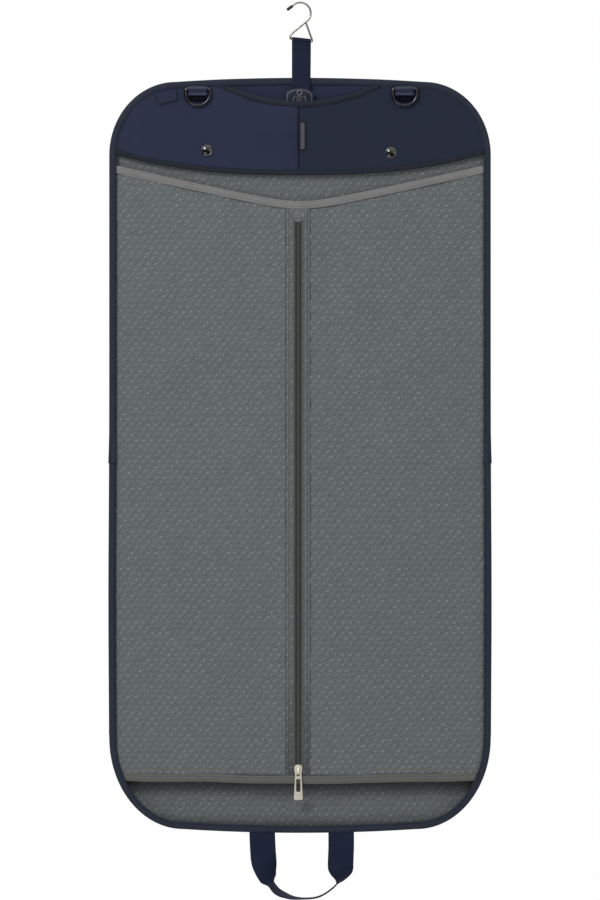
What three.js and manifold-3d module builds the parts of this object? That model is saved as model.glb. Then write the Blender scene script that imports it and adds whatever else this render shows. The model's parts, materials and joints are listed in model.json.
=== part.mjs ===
// Hanging garment bag: a zipped fabric sleeve that hangs from a wire hook, folds in half and is then
// carried by a webbing handle at its bottom edge. Millimetres, +Z up, +X to the right seen from the front,
// -Y towards the zipped front. The origin is where a rail carries the hook: inside the top of its bend.
import * as THREE from "three";
import { mergeVertices } from "three/addons/utils/BufferGeometryUtils.js";
import Module from "manifold-3d";

const wasm = await Module();
wasm.setup();

// ---------------------------------------------------------------- driving dimensions
const GAP = 0.3; // air left between neighbouring pieces
const SEAT = 0.9; // and between curved edges, whose facets differ
const HALF_WIDTH = 278;
const TOP = { edge: -108, arch: 6.2, wide: 97, high: 107, up: 1 };
const BOTTOM = { edge: -1208.5, arch: 5.5, wide: 108, high: 133, up: -1 };
const FOLD_Z = -665; // the bag folds in half here

// Depths, from the zipped front to the back.
const FRONT_Y = -2; // yoke face at the sides
const BULGE = 10; // how far the hook pocket stands forward of that at its mouth
const NYLON = 1.2;
const LINING = 0.8;
const CURTAIN_Y = 1;
const POCKET_BACK_Y = 4.5;
const BACK_LINING_Y = 20.5;
const BACK_PANEL_Y = 22;
const BACK_PANEL_THICKNESS = 1.4;

const EDGE_BINDING = 10.4;
const BINDING_FRONT_Y = -2.8;
const BINDING_DEPTH = 6;
const BINDING_DIP = 4.2; // how far back the binding lies behind the hook strap

const POCKET_HALF = 118; // half the width of the scooped pocket mouth
const MOUTH = { low: -143, rise: 29, band: 9.4 };
const YOKE = { low: -250, rise: 29.6, half: 265, band: 8 };
const SEAM_X = -1.5;

const V_TAPE = { low: -288.6, slope: 0.226, round: 40.9, band: 9 };
const HEM = { top: -1125.6, bottom: -1137 };

const ZIP_X = -2.5;
const ZIP = { band: 16.9, chain: 4.5, slot: 0.7, top: -316 };
const CHAIN_FRONT_Y = 0.6;
const CHAIN_THICKNESS = 1.6;
const SLIDER = { z: -1116.6, wide: 10.8, high: 14 };
const PULLER = { top: 8.4, bottom: 12.6, long: 40.8, thick: 1.6, eye: 4.6, window: [5.8, 17.8], windowDown: 20 };

const WIRE = 1.5; // radius of the hook's wire
const HOOK_BEND = 15.3; // radius of the bend's centreline
const HOOK_BEND_X = 0.4;
const HOOK_SHOULDER = [-13.9, -45.5];
const HOOK_LEFT = [-13.9, -51.7];
const HOOK_RIGHT = [18.4, -55.4];
const HOOK_APEX = [8.7, -27.7];
const STRAP = { left: -11.7, right: 14.6, thick: 2.4, root: -120.6 };

const RING = { wire: 2, wide: 38, high: 29, z: -124.5, y: -6.2, tab: 27.7 };
const RING_X = { left: -149, right: 152.5 };
const SNAP_PLACES = { left: [-135.8, -214], right: [132.6, -217.4] };
const SIDE_LOOP = { x: -193.6, z: -136.2, wide: 27.4, high: 14, thick: 2.2, tilt: 13.5 };
const HANDLE = { left: -55, right: 60, wide: 37, thick: 1.8, root: -1210, low: -1305, y: 0.2 };

const COLOUR = {
  navy: 0x252b3d,
  webbing: 0x1d2333,
  lining: 0x656b6d,
  tape: 0x79746b,
  chain: 0x3c3c3c,
  steel: 0xc8c6c2,
  gunmetal: 0x555962,
  chrome: 0xe6e6e6,
  gold: 0xd8ccb0,
  plastic: 0x232029,
  label: 0x5a5668,
};
const FABRIC = { roughness: 0.85, metalness: 0 };
const METAL = { roughness: 0.3, metalness: 1 };

// ---------------------------------------------------------------- geometry helpers
const v3 = (x, y, z) => new THREE.Vector3(x, y, z);
const smooth = (t) => THREE.MathUtils.smoothstep(t, 0, 1);

// Position-only geometry with shared vertices and outward faces.
function closed(geometry) {
  const bare = new THREE.BufferGeometry().setAttribute("position", geometry.getAttribute("position"));
  if (geometry.index) bare.setIndex(geometry.index);
  const merged = mergeVertices(bare, 1e-4);
  const p = merged.attributes.position;
  const index = merged.index.array;
  const [a, b, c] = [v3(), v3(), v3()];
  let volume = 0;
  for (let i = 0; i < index.length; i += 3) {
    a.fromBufferAttribute(p, index[i]);
    b.fromBufferAttribute(p, index[i + 1]);
    c.fromBufferAttribute(p, index[i + 2]);
    volume += a.dot(b.cross(c));
  }
  if (volume < 0) {
    for (let i = 0; i < index.length; i += 3) [index[i + 1], index[i + 2]] = [index[i + 2], index[i + 1]];
  }
  return merged;
}

function solid(geometry) {
  const g = closed(geometry);
  const vertProperties = g.attributes.position.array;
  return new wasm.Manifold(new wasm.Mesh({ numProp: 3, vertProperties, triVerts: new Uint32Array(g.index.array) }));
}

function geometryOf(manifold) {
  const mesh = manifold.getMesh();
  const g = new THREE.BufferGeometry();
  g.setAttribute("position", new THREE.BufferAttribute(new Float32Array(mesh.vertProperties), 3));
  g.setIndex(new THREE.BufferAttribute(new Uint32Array(mesh.triVerts), 1));
  return g;
}

const join = (...parts) => geometryOf(parts.map(solid).reduce((a, b) => a.add(b)));
const cut = (part, ...tools) => geometryOf(tools.map(solid).reduce((a, b) => a.subtract(b), solid(part)));

// Skins a row of rings. Each ring runs down its front and back up its rear, so its ends close in strips.
function loft(rings) {
  const n = rings[0].length;
  const index = [];
  const quad = (a, b, c, d) => index.push(a, b, c, a, c, d);
  for (let r = 0; r + 1 < rings.length; r++) {
    for (let k = 0; k < n; k++) {
      const next = (k + 1) % n;
      quad(r * n + k, r * n + next, (r + 1) * n + next, (r + 1) * n + k);
    }
  }
  const last = (rings.length - 1) * n;
  for (let k = 0; k < n / 2 - 1; k++) {
    quad(n - 1 - k, n - 2 - k, k + 1, k);
    quad(last + k, last + k + 1, last + n - 2 - k, last + n - 1 - k);
  }
  const g = new THREE.BufferGeometry().setFromPoints(rings.flat());
  g.setIndex(index);
  return closed(g);
}

// Stations from one place to another, closer together towards both ends.
function stations(from, to, count) {
  const middle = (from + to) / 2;
  const half = (to - from) / 2;
  return Array.from({ length: count + 1 }, (_, i) => middle - half * Math.cos((Math.PI * i) / count));
}

// A sheet of fabric across X: top and bottom are heights at x, front is its face's depth at (x, z).
function panel({ from, to, top, bottom, front, thickness, columns = 12, rows = 1 }) {
  const rings = stations(from, to, columns).map((x) => {
    const heights = Array.from({ length: rows + 1 }, (_, i) => top(x) + ((bottom(x) - top(x)) * i) / rows);
    const face = heights.map((z) => v3(x, front(x, z), z));
    const rear = heights.map((z) => v3(x, front(x, z) + thickness, z)).reverse();
    return [...face, ...rear];
  });
  return loft(rings);
}

function block(x0, x1, y0, y1, z0, z1) {
  const g = new THREE.BoxGeometry(x1 - x0, y1 - y0, z1 - z0);
  return g.translate((x0 + x1) / 2, (y0 + y1) / 2, (z0 + z1) / 2);
}

// A shape drawn in X and Z, given thickness from depth y0 back to y1.
function plate(shape, y0, y1, curveSegments = 8) {
  const g = new THREE.ExtrudeGeometry(shape, { depth: y1 - y0, bevelEnabled: false, curveSegments });
  return g.rotateX(Math.PI / 2).translate(0, y1, 0);
}

// A shape drawn in Y and Z, given width from x0 to x1.
function profile(shape, x0, x1, curveSegments = 10) {
  const g = new THREE.ExtrudeGeometry(shape, { depth: x1 - x0, bevelEnabled: false, curveSegments });
  return g.rotateX(Math.PI / 2).rotateZ(Math.PI / 2).translate(x0, 0, 0);
}

function roundSection(radius, sides) {
  const corners = Array.from({ length: sides }, (_, i) => {
    const a = (2 * Math.PI * i) / sides;
    return new THREE.Vector2(radius * Math.cos(a), radius * Math.sin(a));
  });
  return new THREE.Shape(corners);
}

const tube = (path, radius, steps, sides = 8) =>
  new THREE.ExtrudeGeometry(roundSection(radius, sides), { extrudePath: path, steps });

// A path in the XZ plane at y = 0 through corners, each rounded off within `round` of it.
function roundedPath(corners, round) {
  const path = new THREE.CurvePath();
  let here = corners[0];
  for (let i = 1; i < corners.length - 1; i++) {
    const corner = corners[i];
    const before = corner.clone().add(here.clone().sub(corner).setLength(round));
    const after = corner.clone().add(corners[i + 1].clone().sub(corner).setLength(round));
    path.add(new THREE.LineCurve3(here, before));
    path.add(new THREE.QuadraticBezierCurve3(before, corner, after));
    here = after;
  }
  path.add(new THREE.LineCurve3(here, corners.at(-1)));
  return path;
}

function roundedRectangle(wide, high, radius) {
  const [x, z] = [wide / 2, high / 2];
  const s = new THREE.Shape();
  s.absarc(x - radius, z - radius, radius, 0, Math.PI / 2);
  s.absarc(-x + radius, z - radius, radius, Math.PI / 2, Math.PI);
  s.absarc(-x + radius, -z + radius, radius, Math.PI, 1.5 * Math.PI);
  s.absarc(x - radius, -z + radius, radius, 1.5 * Math.PI, 2 * Math.PI);
  return s;
}

// ---------------------------------------------------------------- the bag's outline
const cornerX = (end) => HALF_WIDTH - end.wide;
const cornerBase = (end) => end.edge - end.up * (end.arch + end.high);

// Height of the top or bottom edge at x, for an outline set in by `inset`.
function edgeZ(end, x, inset = 0) {
  const past = (Math.abs(x) - cornerX(end)) / (end.wide - inset);
  if (past <= 0) return end.edge - end.up * (end.arch * (x / cornerX(end)) ** 2 + inset);
  return cornerBase(end) + end.up * (end.high - inset) * Math.sqrt(Math.max(0, 1 - past * past));
}

// Half the width between the sides at height z, where a corner narrows them.
function sideX(end, z, inset) {
  const past = (z - cornerBase(end)) / (end.high - inset);
  return cornerX(end) + (end.wide - inset) * Math.sqrt(1 - past * past);
}

// The outline of one end, from the fold on the left, round the end, to the fold on the right.
function outline(end, inset, cornerSteps = 8, edgeSteps = 8) {
  const right = [[HALF_WIDTH - inset, FOLD_Z + end.up * GAP]];
  for (let i = 0; i <= cornerSteps; i++) {
    const a = (Math.PI / 2) * (i / cornerSteps);
    const x = cornerX(end) + (end.wide - inset) * Math.cos(a);
    right.push([x, cornerBase(end) + end.up * (end.high - inset) * Math.sin(a)]);
  }
  for (let i = 1; i <= edgeSteps; i++) {
    const x = cornerX(end) * (1 - i / edgeSteps);
    right.push([x, edgeZ(end, x, inset)]);
  }
  const left = right.slice(0, -1).map(([x, z]) => [-x, z]);
  return [...left, ...right.reverse()];
}

// A band between two insets of that outline, from depth front(x, z) to back(x, z).
function edgeBand(end, outerInset, innerInset, front, back) {
  const outer = outline(end, outerInset);
  const inner = outline(end, innerInset);
  return loft(
    outer.map(([x, z], i) => {
      const [xi, zi] = inner[i];
      const [f, b] = [front(x, z), back(x, z)];
      return [v3(x, f, z), v3(xi, f, zi), v3(xi, b, zi), v3(x, b, z)];
    }),
  );
}

// ---------------------------------------------------------------- curves of the front
const vTop = (x) => V_TAPE.low + V_TAPE.slope * (Math.hypot(x, V_TAPE.round) - V_TAPE.round);
const yokeLow = (x) => YOKE.low + YOKE.rise * (Math.abs(x) / YOKE.half) ** 2.6;
const mouthTop = (x) => Math.min(MOUTH.low + MOUTH.rise * (x / POCKET_HALF) ** 2, edgeZ(TOP, x, EDGE_BINDING + SEAT));
const mouthLow = (x) => MOUTH.low - MOUTH.band + MOUTH.rise * (x / POCKET_HALF) ** 2;
const yokeTop = (x) => Math.min(edgeZ(TOP, x, EDGE_BINDING + SEAT), Math.abs(x) < POCKET_HALF ? mouthLow(x) - GAP : 0);

// The yoke's face bulges forward over the hook pocket.
function yokeFace(x, z) {
  const across = smooth(1 - Math.abs(x) / (POCKET_HALF + 2));
  const down = smooth((z + 245) / 95);
  return FRONT_Y - BULGE * across * down;
}

// Behind the hook strap the top binding lies back on the pocket's rear wall.
function bindingFace(x, z) {
  const behindStrap = z > cornerBase(TOP) ? smooth((POCKET_HALF - Math.abs(x)) / 45) : 0;
  return BINDING_FRONT_Y + BINDING_DIP * behindStrap;
}

// ---------------------------------------------------------------- the part
const bag = new THREE.Group();

function add(name, geometry, colour, finish = FABRIC) {
  const mesh = new THREE.Mesh(geometry, new THREE.MeshStandardMaterial({ color: colour, ...finish }));
  mesh.name = name;
  bag.add(mesh);
}

function addShell() {
  for (const [half, end] of Object.entries({ upper: TOP, lower: BOTTOM })) {
    const fold = () => FOLD_Z + end.up * GAP;
    const sheet = (inset, y, thickness) => {
      const edge = (x) => edgeZ(end, x, inset);
      const reach = HALF_WIDTH - inset;
      const [top, bottom] = end === TOP ? [edge, fold] : [fold, edge];
      return panel({ from: -reach, to: reach, top, bottom, front: () => y, thickness, columns: 28 });
    };
    add(`back_panel_${half}`, sheet(0.6, BACK_PANEL_Y, BACK_PANEL_THICKNESS), COLOUR.navy);
    add(`back_lining_${half}`, sheet(3, BACK_LINING_Y, LINING), COLOUR.lining);
    const bindingBack = (x, z) => bindingFace(x, z) + BINDING_DEPTH;
    add(`edge_binding_${half}`, edgeBand(end, 0, EDGE_BINDING, bindingFace, bindingBack), COLOUR.navy);
    const gussetFront = (x, z) => bindingBack(x, z) + GAP;
    const gusset = edgeBand(end, 0.6, 2, gussetFront, () => BACK_PANEL_Y - GAP);
    add(`side_gusset_${half}`, gusset, COLOUR.navy);
  }
}

function addYoke() {
  const lower = (x) => yokeLow(x) + YOKE.band + GAP;
  const edge = YOKE.half + 1;
  const face = { top: yokeTop, bottom: lower, front: yokeFace, thickness: NYLON, columns: 18, rows: 5 };
  add("yoke_left_panel", panel({ from: -edge, to: SEAM_X - GAP, ...face }), COLOUR.navy);
  add("yoke_right_panel", panel({ from: SEAM_X + GAP, to: edge, ...face }), COLOUR.navy);
  const hem = { top: (x) => yokeLow(x) + YOKE.band, bottom: yokeLow, front: () => FRONT_Y - 0.8, thickness: 2.2 };
  add("yoke_lower_binding", panel({ from: -edge, to: edge, ...hem, columns: 20 }), COLOUR.navy);
  const lip = { top: mouthTop, bottom: mouthLow, front: (x) => yokeFace(x, -150) - 0.8, thickness: 3 };
  add("pocket_mouth_binding", panel({ from: 2 - POCKET_HALF, to: POCKET_HALF - 2, ...lip, columns: 20 }), COLOUR.navy);
  const rear = { top: (x) => edgeZ(TOP, x, EDGE_BINDING + SEAT), bottom: (x) => yokeLow(x) + 14 };
  const rearWall = { ...rear, front: () => POCKET_BACK_Y, thickness: NYLON, columns: 20 };
  add("pocket_back_panel", panel({ from: -235, to: 235, ...rearWall }), COLOUR.navy);
  add("top_stiffener", block(-190, 190, 7, 9, -172, -136), COLOUR.plastic, { roughness: 0.6, metalness: 0 });
  const labelFace = (x, z) => yokeFace(x, z) - 1.2;
  const label = { from: SEAM_X, to: SEAM_X + 10.2, top: () => -173, bottom: () => -214, front: labelFace };
  add("side_label", panel({ ...label, thickness: 0.9, columns: 2, rows: 3 }), COLOUR.label);
}

// The lined curtain closes the front; each half hangs between the edge binding and the zip.
function addCurtain() {
  const side = HALF_WIDTH - EDGE_BINDING - SEAT;
  const tapeFace = () => CURTAIN_Y - 1.2;
  const vLow = (x) => vTop(x) - V_TAPE.band;
  const vTape = { top: vTop, bottom: vLow, front: tapeFace, thickness: 1.4 };
  add("curtain_top_tape", panel({ from: -side, to: side, ...vTape, columns: 24 }), COLOUR.tape);
  const hem = { top: () => HEM.top, bottom: () => HEM.bottom, front: tapeFace, thickness: 1.4 };
  const hemReach = sideX(BOTTOM, HEM.bottom, EDGE_BINDING + SEAT);
  add("curtain_bottom_tape", panel({ from: -hemReach, to: hemReach, ...hem, columns: 2 }), COLOUR.tape);

  const low = (x) => Math.max(HEM.top + GAP, edgeZ(BOTTOM, x, EDGE_BINDING + SEAT));
  const spans = {
    upper: { top: (x) => vLow(x) - GAP, bottom: () => FOLD_Z + GAP },
    lower: { top: () => FOLD_Z - GAP, bottom: low },
  };
  for (const [half, span] of Object.entries(spans)) {
    for (const [name, sign] of Object.entries({ left: -1, right: 1 })) {
      const piece = (near, far, front, thickness, columns) => {
        const ends = [near, far].map((d) => (d === side ? sign * side : ZIP_X + sign * d)).sort((a, b) => a - b);
        return panel({ from: ends[0], to: ends[1], ...span, front: () => front, thickness, columns });
      };
      const inner = ZIP.band + GAP;
      add(`curtain_${name}_${half}`, piece(inner, side, CURTAIN_Y, LINING, 14), COLOUR.lining);
      add(`zip_band_${name}_${half}`, piece(ZIP.chain + GAP, ZIP.band, CURTAIN_Y, LINING, 2), COLOUR.lining);
      const chainSpan = half === "upper" ? { top: () => ZIP.top, bottom: span.bottom } : span;
      const ends = [ZIP.slot, ZIP.chain].map((d) => ZIP_X + sign * d).sort((a, b) => a - b);
      const strip = { from: ends[0], to: ends[1], ...chainSpan, front: () => CHAIN_FRONT_Y };
      const chain = panel({ ...strip, thickness: CHAIN_THICKNESS, columns: 1 });
      add(`zip_chain_${name}_${half}`, chain, COLOUR.chain);
    }
  }
  const stop = block(ZIP_X - ZIP.chain, ZIP_X + ZIP.chain, CHAIN_FRONT_Y, CHAIN_FRONT_Y + 1.6, ZIP.top + GAP, ZIP.top + 4);
  add("zip_top_stop", stop, COLOUR.navy);
}

function addSlider() {
  const [x0, x1] = [ZIP_X - SLIDER.wide / 2, ZIP_X + SLIDER.wide / 2];
  const [z0, z1] = [SLIDER.z - SLIDER.high / 2, SLIDER.z + SLIDER.high / 2];
  const front = CHAIN_FRONT_Y - GAP;
  const rear = CHAIN_FRONT_Y + CHAIN_THICKNESS + GAP;
  const face = roundedRectangle(SLIDER.wide, SLIDER.high, 3);
  const frontPlate = plate(face, front - 1.9, front, 4).translate(ZIP_X, 0, SLIDER.z);
  const rearPlate = plate(face, rear, rear + 1.2, 4).translate(ZIP_X, 0, SLIDER.z);
  const post = block(ZIP_X - 0.4, ZIP_X + 0.4, front - 0.5, rear + 0.5, z0 + 4, z1 - 4);
  const pivot = { y: front - 3.7, z: SLIDER.z - 3.4 };
  const arch = new THREE.Shape();
  arch.absarc(0, 0, 2.7, 0, 2 * Math.PI);
  arch.holes.push(new THREE.Path().absarc(0, 0, 1.5, 0, 2 * Math.PI, true));
  const eyelet = profile(arch, ZIP_X - 1.4, ZIP_X + 1.4).translate(0, pivot.y, pivot.z);
  const foot = block(ZIP_X - 1.4, ZIP_X + 1.4, pivot.y + 1.7, front - 0.5, pivot.z - 2, pivot.z + 3.5);
  add("zip_slider", join(frontPlate, rearPlate, post, eyelet, foot), COLOUR.gold, METAL);

  const half = PULLER.thick / 2;
  const [top, low] = [pivot.z + half, pivot.z + half - PULLER.long];
  const shape = new THREE.Shape();
  shape.moveTo(-PULLER.top / 2 + 1.5, top);
  shape.lineTo(PULLER.top / 2 - 1.5, top);
  shape.quadraticCurveTo(PULLER.top / 2, top, PULLER.top / 2, top - 1.5);
  shape.lineTo(PULLER.bottom / 2, low + 3);
  shape.quadraticCurveTo(PULLER.bottom / 2, low, PULLER.bottom / 2 - 3, low);
  shape.lineTo(3 - PULLER.bottom / 2, low);
  shape.quadraticCurveTo(-PULLER.bottom / 2, low, -PULLER.bottom / 2, low + 3);
  shape.lineTo(-PULLER.top / 2, top - 1.5);
  shape.quadraticCurveTo(-PULLER.top / 2, top, -PULLER.top / 2 + 1.5, top);
  const body = plate(shape, -half, half, 4);
  const eye = block(-1.9, 1.9, -2, 2, top - PULLER.thick - PULLER.eye, top - PULLER.thick);
  const window_ = plate(roundedRectangle(...PULLER.window, 2), -2, 2, 4).translate(0, 0, top - PULLER.windowDown);
  add("zip_puller", cut(body, eye, window_).translate(ZIP_X, pivot.y, 0), COLOUR.gold, METAL);
}

function addHangerBracket() {
  const face = new THREE.Shape();
  face.moveTo(-20.5, -176);
  face.lineTo(19, -176);
  face.lineTo(19, -134);
  face.bezierCurveTo(18, -121, -19.5, -121, -20.5, -134);
  const back = plate(face, -4.2, -1.8, 8);
  const rails = [-1, 1].map((side) => {
    const x = -0.7 + side * 8.6;
    return block(x - 1.4, x + 1.4, -6.4, -4, -170, -133);
  });
  add("hanger_bracket", join(back, ...rails), COLOUR.plastic, { roughness: 0.25, metalness: 0 });

  const tongue = roundedRectangle(11, 34, 2);
  const ring = new THREE.Shape().absarc(0, 0, 4.4, 0, 2 * Math.PI);
  const ringHole = new THREE.Shape().absarc(0, 0, 2.2, 0, 2 * Math.PI);
  const whole = join(plate(tongue, -6.8, -4.6, 3).translate(0, 0, -151), plate(ring, -6.8, -4.6, 10).translate(0, 0, -130.6));
  const latch = cut(whole, plate(ringHole, -9, -2, 10).translate(0, 0, -130.6));
  add("hanger_latch", latch.translate(-0.7, 0, 0), COLOUR.plastic, { roughness: 0.25, metalness: 0 });
}

function addHook() {
  // The bar lies across the strap's loop, a little lower on its right.
  const bar = v3(HOOK_RIGHT[0] - HOOK_LEFT[0], 0, HOOK_RIGHT[1] - HOOK_LEFT[1]);
  const slope = bar.z / bar.x;
  const barZ = (x) => HOOK_LEFT[1] + slope * (x - HOOK_LEFT[0]);

  const flat = new THREE.Shape();
  flat.moveTo(STRAP.left, STRAP.root);
  flat.lineTo(STRAP.right, STRAP.root);
  flat.lineTo(STRAP.right, barZ(STRAP.right) - 2.8);
  flat.lineTo(STRAP.left, barZ(STRAP.left) - 2.8);
  const ring = new THREE.Shape().absarc(0, 0, 3.4, 0, 2 * Math.PI);
  ring.holes.push(new THREE.Path().absarc(0, 0, 2.1, 0, 2 * Math.PI, true));
  const wide = STRAP.right - STRAP.left;
  const loop = profile(ring, -wide / 2, wide / 2, 10).rotateY(-Math.atan(slope));
  const middle = (STRAP.left + STRAP.right) / 2;
  loop.translate(middle, 0, barZ(middle));
  const strap = join(plate(flat, -STRAP.thick / 2, STRAP.thick / 2), loop);
  add("hook_strap", strap, COLOUR.webbing);
  const root = block(STRAP.left, STRAP.right, -STRAP.thick / 2, STRAP.thick / 2, -172, STRAP.root - 0.8);
  add("hook_strap_root", root, COLOUR.webbing);

  const centre = v3(HOOK_BEND_X, 0, WIRE - HOOK_BEND);
  const onBend = (degrees) => {
    const a = THREE.MathUtils.degToRad(degrees);
    return v3(centre.x + HOOK_BEND * Math.cos(a), 0, centre.z + HOOK_BEND * Math.sin(a));
  };
  const bend = Array.from({ length: 13 }, (_, i) => onBend(135 - 15 * i));
  const corners = [HOOK_SHOULDER, HOOK_LEFT, HOOK_RIGHT, HOOK_APEX];
  const [shoulder, left, right, apex] = corners.map(([x, z]) => v3(x, 0, z));
  const middleOfBar = left.clone().lerp(right, 0.5);
  const tip = onBend(135).add(v3(-0.8, 0, -0.8));
  const upper = tube(new THREE.CatmullRomCurve3([tip, ...bend, v3(5, 0, -30.9)]), WIRE, 40);
  const side = tube(roundedPath([v3(8, 0, -27.6), shoulder, left, middleOfBar], 2.6), WIRE, 36);
  const rest = tube(roundedPath([middleOfBar.clone().lerp(left, 0.1), right, apex], 3), WIRE, 30);
  add("hook_wire", join(upper, side, rest), COLOUR.steel, METAL);

  // The sleeve carries on from the wire's end, straight down and out to the left.
  const outline_ = [
    [0, 0],
    [2.1, 0],
    [2.1, 8.2],
    [1.5, 9.6],
    [0, 10.1],
  ].map(([r, z]) => new THREE.Vector2(r, z));
  const sleeve = new THREE.LatheGeometry(outline_, 10);
  const out = v3(-0.8, 0, -0.6).normalize();
  sleeve.applyQuaternion(new THREE.Quaternion().setFromUnitVectors(v3(0, 1, 0), out));
  const start = tip.clone().addScaledVector(out, 0.6);
  add("hook_tip_sleeve", sleeve.translate(start.x, start.y, start.z), COLOUR.plastic, { roughness: 0.4, metalness: 0 });
}

function addRings() {
  for (const [name, x] of Object.entries(RING_X)) {
    const fold = new THREE.Shape();
    fold.moveTo(-3.6, -12.5);
    fold.lineTo(3.1, -12.5);
    fold.lineTo(3.1, 4);
    fold.lineTo(-2.5, 4);
    fold.quadraticCurveTo(-3.6, 2, -3.6, 0);
    fold.holes.push(new THREE.Path().absarc(0, 0, RING.wire + 0.35, 0, 2 * Math.PI, true));
    const tab = profile(fold, x - RING.tab / 2, x + RING.tab / 2, 10);
    add(`d_ring_tab_${name}`, tab.translate(0, RING.y, RING.z + 0.2), COLOUR.navy);

    const half = RING.wide / 2 - RING.wire;
    const drop = RING.high - 2 * RING.wire;
    const arc = new THREE.CatmullRomCurve3(
      [
        v3(-half + 3, 0, 0),
        v3(-half, 0, -1.5),
        v3(-half, 0, -drop * 0.4),
        v3(-half * 0.71, 0, -drop * 0.86),
        v3(0, 0, -drop),
        v3(half * 0.71, 0, -drop * 0.86),
        v3(half, 0, -drop * 0.4),
        v3(half, 0, -1.5),
        v3(half - 3, 0, 0),
      ],
      false,
      "centripetal",
    );
    const across = new THREE.LineCurve3(v3(2.5 - half, 0, 0), v3(half - 2.5, 0, 0));
    const ring = join(tube(arc, RING.wire, 40), tube(across, RING.wire - 0.02, 1));
    add(`d_ring_${name}`, ring.translate(x, RING.y, RING.z), COLOUR.gunmetal, METAL);
  }
}

function addTrim() {
  for (const [name, [x, z]] of Object.entries(SNAP_PLACES)) {
    const dome = [
      [0, 0],
      [7.6, 0],
      [8, 0.6],
      [6.6, 2.2],
      [3.5, 3.2],
      [0, 3.4],
    ].map(([r, h]) => new THREE.Vector2(r, h));
    const cap = new THREE.LatheGeometry(dome, 20).rotateX(Math.PI);
    add(`snap_cap_${name}`, closed(cap.translate(x, FRONT_Y - GAP, z)), COLOUR.chrome, METAL);
    const disc = new THREE.CylinderGeometry(6.5, 6.5, 1.4, 20);
    add(`snap_back_${name}`, disc.translate(x, FRONT_Y + NYLON + GAP + 0.7, z), COLOUR.steel, METAL);
  }
  const half = SIDE_LOOP.thick / 2;
  const loop = plate(roundedRectangle(SIDE_LOOP.wide, SIDE_LOOP.high, 1), -half, half, 2);
  loop.rotateY(THREE.MathUtils.degToRad(-SIDE_LOOP.tilt));
  add("side_loop", loop.translate(SIDE_LOOP.x, FRONT_Y - SEAT - half, SIDE_LOOP.z), COLOUR.webbing);
}

// The webbing leaves the bottom edge flat, and each leg turns a quarter so that the grip hangs edge-on.
function addHandle() {
  const way = [
    [HANDLE.left, HANDLE.root],
    [HANDLE.left + 0.8, HANDLE.root - 20],
    [HANDLE.left + 2.8, HANDLE.root - 42],
    [HANDLE.left + 7.5, HANDLE.root - 64],
    [HANDLE.left + 20, HANDLE.low + 13],
    [HANDLE.left + 35, HANDLE.low + 5],
    [HANDLE.left + 50, HANDLE.low + 1.3],
    [HANDLE.right - 42, HANDLE.low + 1.5],
    [HANDLE.right - 27, HANDLE.low + 6],
    [HANDLE.right - 12.5, HANDLE.low + 16],
    [HANDLE.right - 3.6, HANDLE.root - 69],
    [HANDLE.right - 1, HANDLE.root - 56],
    [HANDLE.right - 0.8, HANDLE.root - 41],
    [HANDLE.right, HANDLE.root - 20],
    [HANDLE.right, HANDLE.root],
  ];
  const path = new THREE.CatmullRomCurve3(way.map(([x, z]) => v3(x, HANDLE.y, z)));
  const steps = 60;
  const rings = Array.from({ length: steps + 1 }, (_, i) => {
    const t = i / steps;
    const along = path.getTangentAt(t);
    const degrees = 76 * smooth((t - 0.15) / 0.16) + 21 * smooth((t - 0.33) / 0.35) + 83 * smooth((t - 0.7) / 0.13);
    const turn = THREE.MathUtils.degToRad(degrees);
    const across = v3(-along.z, 0, along.x).multiplyScalar(Math.cos(turn)).add(v3(0, Math.sin(turn), 0));
    const through = along.clone().cross(across).multiplyScalar(HANDLE.thick / 2);
    across.multiplyScalar(HANDLE.wide / 2);
    const p = path.getPointAt(t);
    const corner = (a, b) => p.clone().addScaledVector(across, a).addScaledVector(through, b);
    return [corner(-1, -1), corner(1, -1), corner(1, 1), corner(-1, 1)];
  });
  add("handle", loft(rings), COLOUR.webbing);
}

addShell();
addYoke();
addCurtain();
addSlider();
addHangerBracket();
addHook();
addRings();
addTrim();
addHandle();

export default bag;
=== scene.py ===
"""A hanging garment bag: detailed cloth, webbing, zip and metal around the CAD frame."""

import json
import math

import bmesh
import bpy
import numpy as np
from mathutils import Matrix, Vector, noise


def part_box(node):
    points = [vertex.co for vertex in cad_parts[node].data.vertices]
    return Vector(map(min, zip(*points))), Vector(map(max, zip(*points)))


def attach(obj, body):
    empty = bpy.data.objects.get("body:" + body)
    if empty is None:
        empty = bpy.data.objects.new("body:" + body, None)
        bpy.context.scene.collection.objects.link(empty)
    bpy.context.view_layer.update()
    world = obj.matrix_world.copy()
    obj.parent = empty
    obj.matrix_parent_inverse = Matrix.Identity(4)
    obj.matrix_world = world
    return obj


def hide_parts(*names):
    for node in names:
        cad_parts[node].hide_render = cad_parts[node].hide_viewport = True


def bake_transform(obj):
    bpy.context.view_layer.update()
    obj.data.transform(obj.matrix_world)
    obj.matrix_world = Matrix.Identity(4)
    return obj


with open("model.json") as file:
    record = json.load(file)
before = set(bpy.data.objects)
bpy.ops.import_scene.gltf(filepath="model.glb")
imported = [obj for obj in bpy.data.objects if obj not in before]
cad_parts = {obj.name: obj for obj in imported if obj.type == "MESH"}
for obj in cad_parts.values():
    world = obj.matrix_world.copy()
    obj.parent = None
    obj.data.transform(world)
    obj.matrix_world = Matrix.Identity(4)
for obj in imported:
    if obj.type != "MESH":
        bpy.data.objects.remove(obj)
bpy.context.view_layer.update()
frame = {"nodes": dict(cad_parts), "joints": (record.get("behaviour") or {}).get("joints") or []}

# ---------------------------------------------------------------- sizes, in metres, taken from the frame
HALF_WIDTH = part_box("edge_binding_upper")[1].x
TOP_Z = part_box("edge_binding_upper")[1].z
BOTTOM_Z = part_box("edge_binding_lower")[0].z
FOLD_Z = (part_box("edge_binding_upper")[0].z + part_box("edge_binding_lower")[1].z) / 2
BINDING = 0.0104  # how wide the edge binding shows
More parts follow.
